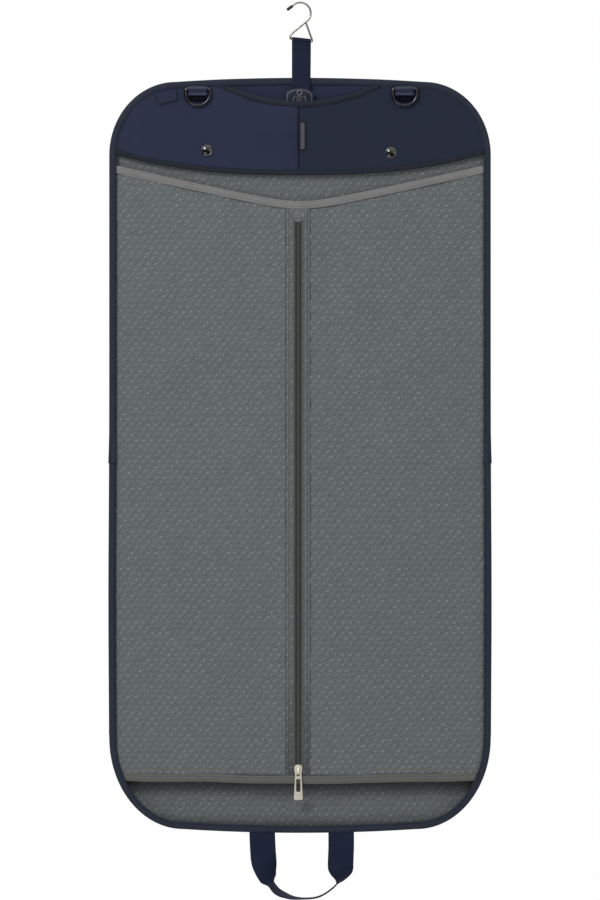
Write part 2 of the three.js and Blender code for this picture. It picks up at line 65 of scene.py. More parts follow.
BINDING_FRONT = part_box("edge_binding_lower")[0].y
BINDING_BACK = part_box("edge_binding_lower")[1].y
BINDING_DIP = 0.0042  # how far back it lies behind the hook strap
BACK_PANEL_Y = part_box("back_panel_upper")[0].y
BACK_LINING_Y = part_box("back_lining_upper")[0].y
CURTAIN_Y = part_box("curtain_left_upper")[0].y
YOKE_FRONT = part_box("yoke_lower_binding")[0].y + 0.0008
POCKET_BULGE = YOKE_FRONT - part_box("yoke_left_panel")[0].y
POCKET_BACK_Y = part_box("pocket_back_panel")[0].y
POCKET_HALF = 0.118  # half the width of the scooped mouth
YOKE_HALF = 0.265
YOKE_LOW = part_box("yoke_lower_binding")[0].z
YOKE_RISE = 0.0296  # how much higher the yoke's lower edge is at the sides
YOKE_BAND = 0.008
MOUTH_LOW = -0.143  # the mouth's upper edge at the middle
MOUTH_RISE = 0.029
MOUTH_BAND = 0.0094
SEAM_X = -0.0015
V_LOW = -0.2886  # the V tape: its upper edge at the middle, its slope, and how round its point is
V_SLOPE = 0.226
V_ROUND = 0.0409
V_BAND = 0.009
HEM_LOW, HEM_TOP = (corner.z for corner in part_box("curtain_bottom_tape"))
ZIP_X = (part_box("zip_chain_left_lower")[0].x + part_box("zip_chain_right_lower")[1].x) / 2
ZIP_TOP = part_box("zip_chain_left_upper")[1].z
ZIP_BAND = 0.0172  # from the zip's middle to the outer edge of a placket band
ZIP_BAND_INNER = 0.0046
CHAIN_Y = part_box("zip_chain_left_lower")[0].y
STITCH = 0.0033  # one sewn stitch and its gap
SEAM_HALF = 0.0008  # half the width of cloth that a row of stitches draws in
FOLD_BLEND = 0.05  # how far either side of the fold line FOLD's span reaches
# FOLD names the lower half first and the upper one second: the other way round, a full half turn would turn
# the cloth inside out.
FOLD = {
    "a": "lower_half",
    "b": "upper_half",
    "start": (0, 0, FOLD_Z - FOLD_BLEND),
    "end": (0, 0, FOLD_Z + FOLD_BLEND),
}

SIDES = (("left", -1), ("right", 1))
X_AXIS = (1.0, 0.0, 0.0)
ROUND = 2 * math.pi

# Linear colours.
NAVY = (0.0272, 0.0345, 0.074)
NAVY_TRIM = (0.0245, 0.0325, 0.054)
YOKE_TRIM = (0.0165, 0.0222, 0.036)
NAVY_WEBBING = (0.0142, 0.0205, 0.0465)
PLACKET_GREY = (0.17, 0.186, 0.19)
HEM_GREY = (0.145, 0.146, 0.133)
LINING_GREY = (0.1455, 0.1625, 0.169)
LINING_MARK = (0.34, 0.37, 0.37)
TAUPE = (0.243, 0.24, 0.233)
CHARCOAL = (0.011, 0.011, 0.012)


# ---------------------------------------------------------------- camera, light and floor
def make_camera():
    """Straight on and far away, as a catalogue photograph is taken."""
    distance, height = 8.0, -0.6506
    seen_height = 1.3113
    data = bpy.data.cameras.new("camera")
    data.sensor_width = 36
    data.lens = data.sensor_width * distance / seen_height
    camera = bpy.data.objects.new("camera", data)
    camera.location = (0, -distance, height)
    camera.rotation_euler = (math.radians(90), 0, 0)
    bpy.context.scene.collection.objects.link(camera)
    bpy.context.scene.camera = camera


def area_light(name, place, target, size, power):
    data = bpy.data.lights.new(name, "AREA")
    data.size = size
    data.energy = power
    light = bpy.data.objects.new(name, data)
    light.location = place
    light.rotation_euler = (Vector(target) - Vector(place)).to_track_quat("-Z", "Y").to_euler()
    bpy.context.scene.collection.objects.link(light)


def make_world():
    """White behind the bag; metal sees a dim room that is brighter overhead, and cloth an even sky."""
    world = bpy.data.worlds.new("studio")
    bpy.context.scene.world = world
    world.use_nodes = True
    tree = world.node_tree
    background = tree.nodes["Background"]
    path = tree.nodes.new("ShaderNodeLightPath")
    place = tree.nodes.new("ShaderNodeTexCoord")
    split = tree.nodes.new("ShaderNodeSeparateXYZ")
    tree.links.new(place.outputs["Generated"], split.inputs[0])

    def blend(factor, low, high):
        node = tree.nodes.new("ShaderNodeMix")
        tree.links.new(factor, node.inputs["Factor"])
        for socket, value in ((node.inputs["A"], low), (node.inputs["B"], high)):
            if isinstance(value, float):
                socket.default_value = value
            else:
                tree.links.new(value, socket)
        return node.outputs[0]

    ramp = tree.nodes.new("ShaderNodeMapRange")
    floor_seen, ceiling_seen = -0.05, 0.85  # how far up a reflection points
    dim, bright, for_cloth = 0.07, 0.95, 0.42
    ramp.inputs["From Min"].default_value = floor_seen
    ramp.inputs["From Max"].default_value = ceiling_seen
    tree.links.new(split.outputs["Z"], ramp.inputs["Value"])
    room = blend(ramp.outputs[0], dim, bright)
    lit = blend(path.outputs["Is Diffuse Ray"], room, for_cloth)
    shown = blend(path.outputs["Is Camera Ray"], lit, 1.0)
    background.inputs["Color"].default_value = (1, 1, 1, 1)
    tree.links.new(shown, background.inputs["Strength"])


def make_studio():
    """A large soft light from the upper left, weaker ones from the right and below, and a pale floor."""
    make_world()
    centre = (0, 0, -0.6)
    area_light("key", (-1.7, -2.6, 1.3), centre, 1.1, 44)
    area_light("fill", (2.4, -2.4, -0.2), centre, 1.6, 9)
    area_light("low", (-1.2, -2.4, -1.9), centre, 0.9, 6)
    ground = -1.46
    bpy.ops.mesh.primitive_circle_add(vertices=96, radius=1.25, fill_type="NGON", location=(0, 0.1, ground))
    floor = bpy.context.object
    floor.name = "floor"
    floor.data.materials.append(plain_material("floor", (0.86, 0.86, 0.86), 0.6))
    bpy.context.scene.view_settings.view_transform = "Standard"


# ---------------------------------------------------------------- node helpers
class Nodes:
    """A material's node tree, with short ways to add what every fabric here needs."""

    def __init__(self, name):
        self.material = bpy.data.materials.new(name)
        self.material.use_nodes = True
        self.tree = self.material.node_tree
        self.shader = self.tree.nodes["Principled BSDF"]

    def add(self, kind, **settings):
        node = self.tree.nodes.new(kind)
        for key, value in settings.items():
            setattr(node, key, value)
        return node

    def link(self, value, socket):
        if isinstance(value, bpy.types.NodeSocket):
            self.tree.links.new(value, socket)
        else:
            socket.default_value = value

    def math(self, operation, a, b=0.0, c=0.0):
        node = self.add("ShaderNodeMath", operation=operation)
        for socket, value in zip(node.inputs, (a, b, c)):
            self.link(value, socket)
        return node.outputs[0]

    def plus(self, a, b):
        return self.math("ADD", a, b)

    def minus(self, a, b):
        return self.math("SUBTRACT", a, b)

    def times(self, a, b):
        return self.math("MULTIPLY", a, b)

    def fused(self, a, b, c):
        """a times b, plus c."""
        return self.math("MULTIPLY_ADD", a, b, c)

    def size(self, a):
        return self.math("ABSOLUTE", a)

    def uv(self):
        """The piece's own flat coordinates, in metres across and along."""
        split = self.add("ShaderNodeSeparateXYZ")
        self.link(self.add("ShaderNodeUVMap").outputs[0], split.inputs[0])
        return split.outputs[0], split.outputs[1]

    def vector(self, u, v, w=0.0):
        node = self.add("ShaderNodeCombineXYZ")
        for socket, value in zip(node.inputs, (u, v, w)):
            self.link(value, socket)
        return node.outputs[0]

    def noise(self, vector, scale, detail=3.0, roughness=0.55):
        node = self.add("ShaderNodeTexNoise")
        self.link(vector, node.inputs["Vector"])
        node.inputs["Scale"].default_value = scale
        node.inputs["Detail"].default_value = detail
        node.inputs["Roughness"].default_value = roughness
        return node.outputs["Fac"]

    def wave(self, coordinate, pitch):
        """1 on each thread and 0 between threads, once every pitch."""
        turn = self.math("MULTIPLY", coordinate, 2 * math.pi / pitch)
        return self.math("MULTIPLY_ADD", self.math("SINE", turn), 0.5, 0.5)

    def mix(self, factor, a, b):
        node = self.add("ShaderNodeMix", data_type="RGBA")
        self.link(factor, node.inputs["Factor"])
        for socket, value in ((node.inputs["A"], a), (node.inputs["B"], b)):
            self.link((*value, 1) if isinstance(value, tuple) else value, socket)
        return node.outputs["Result"]

    def shade(self, colour, low, high, amount):
        """colour made darker or lighter as amount goes from 0 to 1."""
        scale = self.math("MULTIPLY_ADD", amount, high - low, low)
        node = self.add("ShaderNodeVectorMath", operation="SCALE")
        self.link(colour, node.inputs[0])
        self.link(scale, node.inputs["Scale"])
        return node.outputs[0]

    def bump(self, height, strength, distance):
        node = self.add("ShaderNodeBump")
        node.inputs["Strength"].default_value = strength
        node.inputs["Distance"].default_value = distance
        self.link(height, node.inputs["Height"])
        self.link(node.outputs[0], self.shader.inputs["Normal"])

    def finish(self, colour, roughness, **sockets):
        self.link((*colour, 1) if isinstance(colour, tuple) else colour, self.shader.inputs["Base Color"])
        self.link(roughness, self.shader.inputs["Roughness"])
        for name, value in sockets.items():
            self.shader.inputs[name.replace("_", " ")].default_value = value
        return self.material


def plain_material(name, colour, roughness):
    n = Nodes(name)
    place = n.add("ShaderNodeTexCoord").outputs["Object"]
    return n.finish(n.shade(colour, 0.98, 1.02, n.noise(place, 2.0)), roughness)


def woven(name, colour, pitch=0.0007, sheen=0.08, roughness=0.78, mottle=0.08, bump=0.35):
    """Plain-weave nylon: fine crossing threads, with a slow drift of tone as on dyed cloth."""
    n = Nodes(name)
    u, v = n.uv()
    flat = n.vector(u, v)
    weave = n.times(n.wave(u, pitch), n.wave(v, pitch))
    drift = n.noise(flat, 22.0, 4.0)
    grain = n.noise(flat, 900.0, 2.0)
    tone = n.plus(n.times(drift, 0.6), n.times(grain, 0.4))
    shaded = n.shade(n.shade(colour, 1 - 2 * mottle, 1 + 2 * mottle, tone), 0.86, 1.1, weave)
    height = n.plus(weave, n.times(grain, 0.6))
    n.bump(height, bump, 0.00018)
    rough = n.fused(grain, 0.12, roughness - 0.06)
    return n.finish(shaded, rough, Sheen_Weight=sheen, Sheen_Roughness=0.45, Specular_IOR_Level=0.18)


def ribbed(
    name, colour, rib=0.0011, along_rib=0.0016, roughness=0.62, sheen=0.06, specular=0.2, seams=(), sewn=0.3
):
    """Webbing and binding tape: ribs along its length, crossed by closely packed weft. seams are the places
    across the tape where a sewn row draws it in; the cloth there is painted darker between the stitches, as
    painted shade."""
    n = Nodes(name)
    u, v = n.uv()
    flat = n.vector(u, v)
    ribs = n.wave(u, rib)
    weft = n.wave(n.fused(ribs, 0.3 * along_rib, v), along_rib)
    height = n.fused(ribs, 0.65, n.times(weft, 0.35))
    fuzz = n.noise(flat, 700.0, 3.0)
    drift = n.noise(flat, 30.0, 3.0)
    tone = n.fused(drift, 0.5, n.times(height, 0.5))
    shaded = n.shade(colour, 0.72, 1.28, tone)
    height = n.fused(fuzz, 0.25, height)
    # Painted shade: each seam darkens the cloth between its stitches, where the drawn-in dimples are shaded.
    for place in seams:
        away = n.size(n.minus(u, place))
        sunk = n.minus(1.0, n.math("DIVIDE", away, SEAM_HALF))
        sunk = n.math("MAXIMUM", sunk, 0.0)
        held = n.times(sunk, n.fused(n.wave(v, STITCH), 0.5, 0.5))
        shaded = n.shade(shaded, 1.0, sewn, held)
        height = n.fused(held, -1.5, height)
    n.bump(height, 0.5, 0.0003)
    rough = n.fused(fuzz, 0.14, roughness - 0.05)
    return n.finish(shaded, rough, Sheen_Weight=sheen, Sheen_Roughness=0.4, Specular_IOR_Level=specular)


def lining(name, base, mark, hem_painted_shade=0.0, seams=(), painted_shadow_at=None):
    """Thin nylon printed with a generic speckle: a short dash at its own angle and three dots in each cell
    of a staggered grid, and now and then a small diamond."""
    across, down = 0.0116, 0.0078  # one cell of the grid
    drift_across, drift_down = 0.0022, 0.0014  # how far a mark strays from the middle of its cell
    n = Nodes(name)
    u, v = n.uv()
    flat = n.vector(u, v)
    row = n.math("FLOOR", n.math("DIVIDE", v, down))
    odd = n.size(n.math("MODULO", row, 2.0))
    column = n.fused(odd, 0.5, n.math("DIVIDE", u, across))
    cell = n.add("ShaderNodeTexWhiteNoise", noise_dimensions="2D")
    n.link(n.vector(n.math("FLOOR", column), row), cell.inputs["Vector"])
    chance = cell.outputs["Value"]
    other = n.math("FRACT", n.times(chance, 7.31))
    x = n.times(n.minus(n.math("FRACT", column), 0.5), across)
    z = n.times(n.minus(n.math("FRACT", n.math("DIVIDE", v, down)), 0.5), down)
    x = n.fused(n.minus(chance, 0.5), drift_across, x)
    z = n.fused(n.minus(other, 0.5), drift_down, z)
    turn = n.times(other, math.pi)
    c, s = n.math("COSINE", turn), n.math("SINE", turn)
    along = n.plus(n.times(x, c), n.times(z, s))
    aside = n.minus(n.times(z, c), n.times(x, s))

    def patch(a, b, ca, cb, half_a, half_b):
        near_a = n.math("LESS_THAN", n.size(n.minus(a, ca)), half_a)
        near_b = n.math("LESS_THAN", n.size(n.minus(b, cb)), half_b)
        return n.times(near_a, near_b)

    usual = patch(along, aside, 0.0, 0.0, 0.0017, 0.0007)
    usual = n.math("MAXIMUM", usual, patch(along, aside, 0.0005, 0.0017, 0.0010, 0.0008))
    usual = n.math("MAXIMUM", usual, patch(x, z, -0.0041, -0.0016, 0.0008, 0.0007))
    usual = n.math("MAXIMUM", usual, patch(x, z, 0.0038, 0.0020, 0.0007, 0.0007))
    dark = patch(along, aside, -0.0010, -0.0021, 0.0012, 0.0009)
    dark = n.math("MAXIMUM", dark, patch(x, z, 0.0052, -0.0016, 0.0009, 0.0011))
    reach = n.plus(n.size(x), n.size(z))
    diamond = n.math("LESS_THAN", n.size(n.minus(reach, 0.0026)), 0.0006)
    rare = n.math("GREATER_THAN", chance, 0.975)
    marks = n.plus(n.times(rare, diamond), n.times(n.minus(1.0, rare), usual))
    strength = n.fused(other, 0.45, 0.3)
    patchy = n.times(strength, n.fused(n.noise(flat, 420.0, 2.0), 1.3, 0.15))
    weave = n.times(n.wave(u, 0.0005), n.wave(v, 0.0005))
    drift = n.noise(flat, 14.0, 5.0)
    slant = n.vector(n.fused(v, 0.8, u), n.fused(u, -0.5, v))
    crease = n.noise(slant, 48.0, 5.0)
    grain = n.noise(flat, 330.0, 3.0, 0.7)
    ground = n.shade(n.shade(base, 0.94, 1.06, drift), 0.94, 1.04, weave)
    # The crease noise also paints the light and shade of soft wrinkles into the colour, besides bumping
    # them.
    ground = n.shade(n.shade(ground, 0.68, 1.32, grain), 0.88, 1.12, crease)
    ground = n.shade(ground, 1.02, 0.82, dark)
    # Painted shade: the cloth is darkened towards the hem, where the lower end of the placket band lies in
    # shadow.
    if hem_painted_shade:
        height = n.add("ShaderNodeMapRange")
        n.link(v, height.inputs["Value"])
        darkest, clear = -1.14, -0.97  # heights between which the painted shade darkens the lower end
        for socket, value in (("From Min", darkest), ("From Max", clear), ("To Min", hem_painted_shade), ("To Max", 1.0)):
            height.inputs[socket].default_value = value
        ground = n.shade(ground, 0.0, 1.0, height.outputs[0])
    printed = n.mix(n.times(marks, patchy), ground, mark)
    # Painted shadow: a dark band is painted on the lining just under the hem tape, where the hem's shadow
    # falls.
    if painted_shadow_at is not None:
        reach = 0.009  # the painted shadow under the hem thins out over about this much
        away = n.math("DIVIDE", n.minus(v, painted_shadow_at), reach)
        under = n.math("POWER", math.e, n.times(n.times(away, away), -1.0))
        printed = n.shade(printed, 0.96, 0.5, under)
    # Painted shade along each row of stitches beside the zip, where the drawn-in cloth is sunk.
    for place in seams:
        away = n.size(n.minus(n.size(n.minus(u, ZIP_X)), place))
        sunk = n.math("MAXIMUM", n.minus(1.0, n.math("DIVIDE", away, 1.3 * SEAM_HALF)), 0.0)
        printed = n.shade(printed, 1.0, 0.55, sunk)
        crease = n.fused(sunk, -0.5, crease)
    n.bump(n.fused(weave, 0.08, crease), 0.7, 0.0016)
    rough = n.fused(drift, 0.1, 0.55)
    return n.finish(printed, rough, Sheen_Weight=0.03, Sheen_Roughness=0.5, Specular_IOR_Level=0.25)


def zip_tape(name, colour):
    """Woven zip tape: fine ribs along it, with one raised cord beside the coil."""
    n = Nodes(name)
    u, v = n.uv()
    ribs = n.wave(u, 0.0012)
    weft = n.wave(v, 0.0009)
    tone = n.fused(ribs, 0.7, n.times(weft, 0.3))
    n.bump(tone, 0.5, 0.0003)
    rough = n.fused(weft, 0.08, 0.68)
    return n.finish(n.shade(colour, 0.7, 1.25, tone), rough, Specular_IOR_Level=0.3)


def metal(name, colour, roughness, wear=0.06, scratch=1800.0, metallic=1.0):
    """Plated metal with faint long scratches and a slightly uneven polish."""
    n = Nodes(name)
    place = n.add("ShaderNodeTexCoord").outputs["Object"]
    stretch = n.add("ShaderNodeMapping")
    n.link(place, stretch.inputs["Vector"])
    stretch.inputs["Scale"].default_value = (1.0, 1.0, 0.06)
    lines = n.noise(stretch.outputs[0], scratch, 3.0)
    cloud = n.noise(place, 120.0, 3.0)
    rough = n.fused(lines, wear, n.fused(cloud, wear, roughness - wear))
    n.bump(lines, 0.06, 0.0001)
    return n.finish(n.shade(colour, 0.93, 1.05, cloud), rough, Metallic=metallic)


def moulded(name, colour, roughness, coat=0.0):
    """Moulded plastic with a fine orange-peel skin."""
    n = Nodes(name)
    place = n.add("ShaderNodeTexCoord").outputs["Object"]
    skin = n.noise(place, 1400.0, 2.0)
    cloud = n.noise(place, 90.0, 3.0)
    n.bump(skin, 0.12, 0.0001)
    rough = n.fused(cloud, 0.12, roughness - 0.06)
    return n.finish(n.shade(colour, 0.88, 1.12, cloud), rough, Coat_Weight=coat, Coat_Roughness=0.2)


def make_materials():
    fine = (0.0009, 0.0012)  # rib and weft spacing of binding tape
    coarse = (0.0009, 0.0014)
    return {
        "nylon": woven("navy_nylon", NAVY),
        # A darker copy of the navy nylon for the right yoke panel: painted shade, as the light comes from
        # the upper left.
        "nylon_painted_shade": woven("navy_nylon_painted_shade", (0.0205, 0.0275, 0.053)),
        "binding": ribbed("navy_binding", NAVY_TRIM, *fine, 0.68, seams=[0.0030]),
        "plain_binding": ribbed("navy_piping", NAVY_TRIM, *fine, 0.68),
        # On both, the seam at 0.0004 paints a dark shadow along the lower edge, where the gap under the
        # binding is shaded.
        "yoke_binding": ribbed("yoke_binding", YOKE_TRIM, *fine, seams=[0.0004, 0.0062]),
        "mouth_binding": ribbed("mouth_binding", YOKE_TRIM, *fine, seams=[0.0004, 0.0028]),
        "webbing": ribbed("navy_webbing", NAVY_WEBBING, 0.0019, 0.0013, 0.6, 0.02, 0.1),
        "satin": ribbed("navy_satin", (0.026, 0.033, 0.078), 0.0012, 0.001, 0.34, 0.05, 0.45),
        # Near-black lower ply of the D-ring tabs: painted shadow inside the ring.
        "ply_painted_shadow": ribbed("tab_ply_painted_shadow", (0.004, 0.005, 0.011), sheen=0.0, specular=0.05),
        "lining": lining("grey_lining", LINING_GREY, LINING_MARK),
        # The back lining carries a painted shadow just under the hem.
        "inside": lining("lining_inside", LINING_GREY, LINING_MARK, painted_shadow_at=HEM_LOW - 0.001),
        # 0.53 is the painted shade at the hem end of the placket bands.
        "placket": lining("zip_placket", PLACKET_GREY, LINING_MARK, 0.53, (0.0132, 0.0088)),
        "zip_edge": zip_tape("zip_edge_tape", (0.098, 0.1, 0.098)),
        "tape": ribbed("taupe_tape", TAUPE, *coarse, seams=[0.0040], sewn=0.72),
        "hem": ribbed("taupe_hem", HEM_GREY, *coarse, seams=[0.0030, 0.0082], sewn=0.6),
        "zip_tape": ribbed("zip_tape", CHARCOAL, rib=0.0008, along_rib=0.001, roughness=0.75),
        "coil": moulded("zip_coil", (0.073, 0.071, 0.071), 0.4),
        "thread_navy": moulded("navy_thread", (0.014, 0.018, 0.034), 0.6),
        "thread_taupe": moulded("taupe_thread", (0.17, 0.165, 0.155), 0.6),
        "thread_pale": moulded("pale_thread", (0.24, 0.24, 0.23), 0.6),
        "thread_grey": moulded("grey_thread", (0.06, 0.064, 0.066), 0.6),
        "gold": metal("pale_gold", (0.92, 0.86, 0.73), 0.38, metallic=0.55),
        "steel": metal("nickel_wire", (0.56, 0.545, 0.51), 0.3),
        "gunmetal": metal("gunmetal", (0.085, 0.085, 0.1), 0.2),
        # The cap's chrome is made dark, a painted dark reflection; its paler rim bead is a painted highlight
        # arc.
        "chrome": metal("chrome_cap", (0.11, 0.11, 0.11), 0.08, wear=0.03),
        "chrome_rim_painted_highlight": metal("chrome_rim_painted_highlight", (0.3, 0.3, 0.3), 0.15, wear=0.03),
        "plastic": moulded("bracket_plastic", (0.010, 0.014, 0.032), 0.3, coat=0.1),
        # Paler plastic for the bracket's rim, rib edges and latch ring: painted highlight along the edges,
        # and partly wear.
        "rim": moulded("bracket_edges_wear_and_highlight", (0.12, 0.115, 0.15), 0.3, coat=0.5),
        "tongue": moulded("latch_tongue", (0.05, 0.047, 0.062), 0.3, coat=0.4),
        "sleeve": moulded("tip_sleeve", (0.018, 0.018, 0.026), 0.35),
        "board": moulded("stiffener_board", (0.03, 0.03, 0.032), 0.6),
        "label": moulded("label_patch", (0.006, 0.006, 0.010), 0.5),
        "label_stripe": moulded("label_face", (0.085, 0.08, 0.108), 0.5),
    }


# ---------------------------------------------------------------- helpers for pieces
def placed(o, slot, body, *nodes):
    """The piece stands for the CAD nodes, which are hidden, and rides on body, or is baked in place with
    FOLD. slot is not used.
    """
    if nodes:
        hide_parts(*nodes)
    if body is FOLD:
        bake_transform(o)
    else:
        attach(o, body)


def joint_named(name):
    return next(j for j in frame["joints"] if j["name"] == name)


def dressed(node, material, bevel):
    """A CAD node that stays in view, with its edges softened and a better material."""
    o = frame["nodes"][node]
    o.data.materials.clear()
    o.data.materials.append(material)
    bevelled(o, bevel)


def places(x, y, z):
    """Points in rows, from three arrays."""
    return np.stack([x, y, z], -1)


def around(count):
    """Angles evenly round a whole turn."""
    return np.linspace(0, ROUND, count + 1)[:-1]


def nearby(x, place, width):
    """1 at a place, falling smoothly away to 0 over a few widths."""
    return np.exp(-(((x - place) / width) ** 2))


def level(value):
    """The same height or depth everywhere, for a panel."""
    return lambda x, *_: np.full_like(x, value)


def unit(v):
    """Vectors in rows, or one vector, made one metre long."""
    return v / np.linalg.norm(v, axis=-1, keepdims=True)


def distance_along(path):
    """How far each point of a path is from its first."""
    return np.concatenate([[0], np.cumsum(np.linalg.norm(np.diff(path, axis=0), axis=1))])


def new_mesh(name, points, faces, material, flat=None, smooth=True):
    """A mesh object. flat gives each vertex its place on the cloth in metres, used as its UV."""
    mesh = bpy.data.meshes.new(name)
    mesh.from_pydata([tuple(p) for p in np.asarray(points, float)], [], faces)
    if flat is not None:
        loops = np.zeros(len(mesh.loops), np.int32)
        mesh.loops.foreach_get("vertex_index", loops)
        layer = mesh.uv_layers.new(name="UVMap")
        layer.data.foreach_set("uv", np.asarray(flat, np.float32)[loops].ravel())
    mesh.polygons.foreach_set("use_smooth", [smooth] * len(mesh.polygons))
    mesh.materials.append(material)
    o = bpy.data.objects.new(name, mesh)
    bpy.context.scene.collection.objects.link(o)
    return o


def grid_faces(rows, columns, close_rows=False, close_columns=False, flip=False):
    """Quads over a grid of rows x columns points, optionally closed into a loop either way."""
    faces = []
    for r in range(rows if close_rows else rows - 1):
        for c in range(columns if close_columns else columns - 1):
            a, b = r * columns + c, r * columns + (c + 1) % columns
            d, e = (r + 1) % rows * columns + c, (r + 1) % rows * columns + (c + 1) % columns
            faces.append((a, d, e, b) if flip else (a, b, e, d))
    return faces


def thicken(o, thickness, offset=-1.0):
    """Gives a sheet its thickness behind its face."""
    m = o.modifiers.new("thickness", "SOLIDIFY")
    m.thickness = thickness
    m.offset = offset
    return o


def bevelled(o, width, segments=2):
    m = o.modifiers.new("bevel", "BEVEL")
    m.width = width
    m.segments = segments
    m.limit_method = "ANGLE"
    m.angle_limit = math.radians(40)
    return o


def smooth(t):
    t = np.clip(t, 0, 1)
    return t * t * (3 - 2 * t)


def cloth_noise(x, z, scale, seed, stretch=1.0):
    """Smooth noise between about -1 and 1 over arrays of places on the cloth."""
    values = [
        noise.noise((float(a) / scale, float(b) / scale * stretch, seed))
        for a, b in zip(np.ravel(x), np.ravel(z))
    ]
    return 2 * np.array(values).reshape(np.shape(x))


def panel(name, xs, top, bottom, rows, depth, material, thickness, tape=False, held=None, rests_on=()):
    """A sheet across xs from height top(x) down to bottom(x), its face at depth(x, z). A tape's pattern runs
    along it, measured up from its lower edge. Where held is given, the size and area of its flat cut, which
    is its outline seen from the front, are worked out but not used."""
    xs = np.asarray(xs, float)
    t = np.linspace(0, 1, rows)[:, None]
    x = np.repeat(xs[None, :], rows, 0)
    z = top(xs)[None, :] * (1 - t) + bottom(xs)[None, :] * t
    y = depth(x, z)
    points = places(x, y, z).reshape(-1, 3)
    across = [z - bottom(xs)[None, :], x] if tape else [x, z]
    flat = np.stack(across, -1).reshape(-1, 2)
    o = new_mesh(name, points, grid_faces(rows, len(xs)), material, flat)
    # The face looks to the front, so the rows run down and the columns to the right with flipped winding.
    o.data.flip_normals()
    if held:
        size = (float(np.ptp(xs)), float(np.max(top(xs)) - np.min(bottom(xs))))
        area = abs(float(np.trapz(top(xs) - bottom(xs), xs)))
    return thicken(o, thickness)


def spaced(a, b, step, dense_ends=False):
    """Even stations from a to b about step apart, or closer together towards both ends."""
    count = max(2, int(round(abs(b - a) / step)) + 1)
    t = np.linspace(0, 1, count)
    if dense_ends:
        t = (1 - np.cos(np.pi * t)) / 2
    return a + (b - a) * t


def stitches(name, path, material, pitch=0.003, length=0.0021, radius=0.00028, across=None):
    """A row of sewn stitches along a path of points: each is a small thread lying on the cloth."""
    path = np.asarray(path, float)
    distance = distance_along(path)
    centres = np.arange(pitch / 2, distance[-1], pitch)
    at = lambda d: np.stack([np.interp(d, distance, path[:, k]) for k in range(3)], -1)
    middle, ahead, behind = at(centres), at(centres + 0.0006), at(centres - 0.0006)
    along = unit(ahead - behind)
    out = np.array([0, -1.0, 0]) if across is None else np.asarray(across, float)
    side = np.cross(along, out)
    side /= np.maximum(np.linalg.norm(side, axis=1)[:, None], 1e-9)
    up = np.cross(side, along)
    rings = [(-0.5, 0.0, -0.3), (-0.34, 0.85, 0.25), (0, 1.0, 0.45), (0.34, 0.85, 0.25), (0.5, 0.0, -0.3)]
    points, faces = [], []
    for m, a, s, h in zip(middle, along, side, up):
        base = len(points)
        for share, wide, lift in rings:
            c = m + a * share * length + h * lift * radius
            w = max(wide, 0.15) * radius
            points += [c + s * w, c + h * w, c - s * w, c - h * w]
        faces += [tuple(base + i for i in f) for f in grid_faces(5, 4, close_columns=True)]
    return new_mesh(name, points, faces, material)


def tube(name, path, radius, material, sides=12, closed=False):
    """A round bar along a path of points; radius is one number, or one for each point."""
    path = np.asarray(path, float)
    n = len(path)
    radii = np.full(n, radius) if np.isscalar(radius) else np.asarray(radius)
    along = unit(np.roll(path, -1, 0) - np.roll(path, 1, 0) if closed else np.gradient(path, axis=0))
    side = np.cross(along[0], (0.123, 1.0, 0.037))
    points, flat = [], []
    travelled = 0.0
    angles = around(sides)
    for i in range(n):
        side = unit(side - along[i] * (side @ along[i]))
        other = np.cross(along[i], side)
        travelled += np.linalg.norm(path[i] - path[i - 1]) if i else 0
        for a in angles:
            points.append(path[i] + radii[i] * (side * math.cos(a) + other * math.sin(a)))
            flat.append((a * radii[i], travelled))
    faces = grid_faces(n, sides, close_rows=closed, close_columns=True)
    if not closed:
        faces += [tuple(range(sides))[::-1], tuple((n - 1) * sides + k for k in range(sides))]
    return new_mesh(name, points, faces, material, flat)


def domed_ends(path, radius, count=4):
    """Path and radii with each end drawn in to a rounded tip."""
    path = np.asarray(path, float)
    start, end = unit(path[0] - path[1]), unit(path[-1] - path[-2])
    turns = [math.radians(90 * (i + 1) / (count + 0.3)) for i in range(count)]
    head = [path[0] + start * radius * math.sin(a) for a in turns][::-1]
    tail = [path[-1] + end * radius * math.sin(a) for a in turns]
    shrink = [radius * math.cos(a) for a in turns]
    return np.array(head + list(path) + tail), np.array(shrink[::-1] + [radius] * len(path) + shrink)


def curve_through(points, step=0.0012):
    """Points close together along a smooth curve through the given ones."""
    p = [Vector(q) for q in points]
    p = [2 * p[0] - p[1], *p, 2 * p[-1] - p[-2]]
    out = []
    for a, b, c, d in zip(p, p[1:], p[2:], p[3:]):
        count = max(2, int((c - b).length / step))
        for i in range(count):
            t = i / count
            square, cube = 2 * a - 5 * b + 4 * c - d, 3 * b - a - 3 * c + d
            out.append(0.5 * ((2 * b) + (c - a) * t + square * t**2 + cube * t**3))
    return np.array([*out, p[-2]])


def joined(name, parts):
    """One object out of several, each keeping its own material."""
    bpy.ops.object.select_all(action="DESELECT")
    for o in parts:
        o.select_set(True)
    bpy.context.view_layer.objects.active = parts[0]
    bpy.ops.object.join()
    whole = bpy.context.object
    whole.name = whole.data.name = name
    return whole


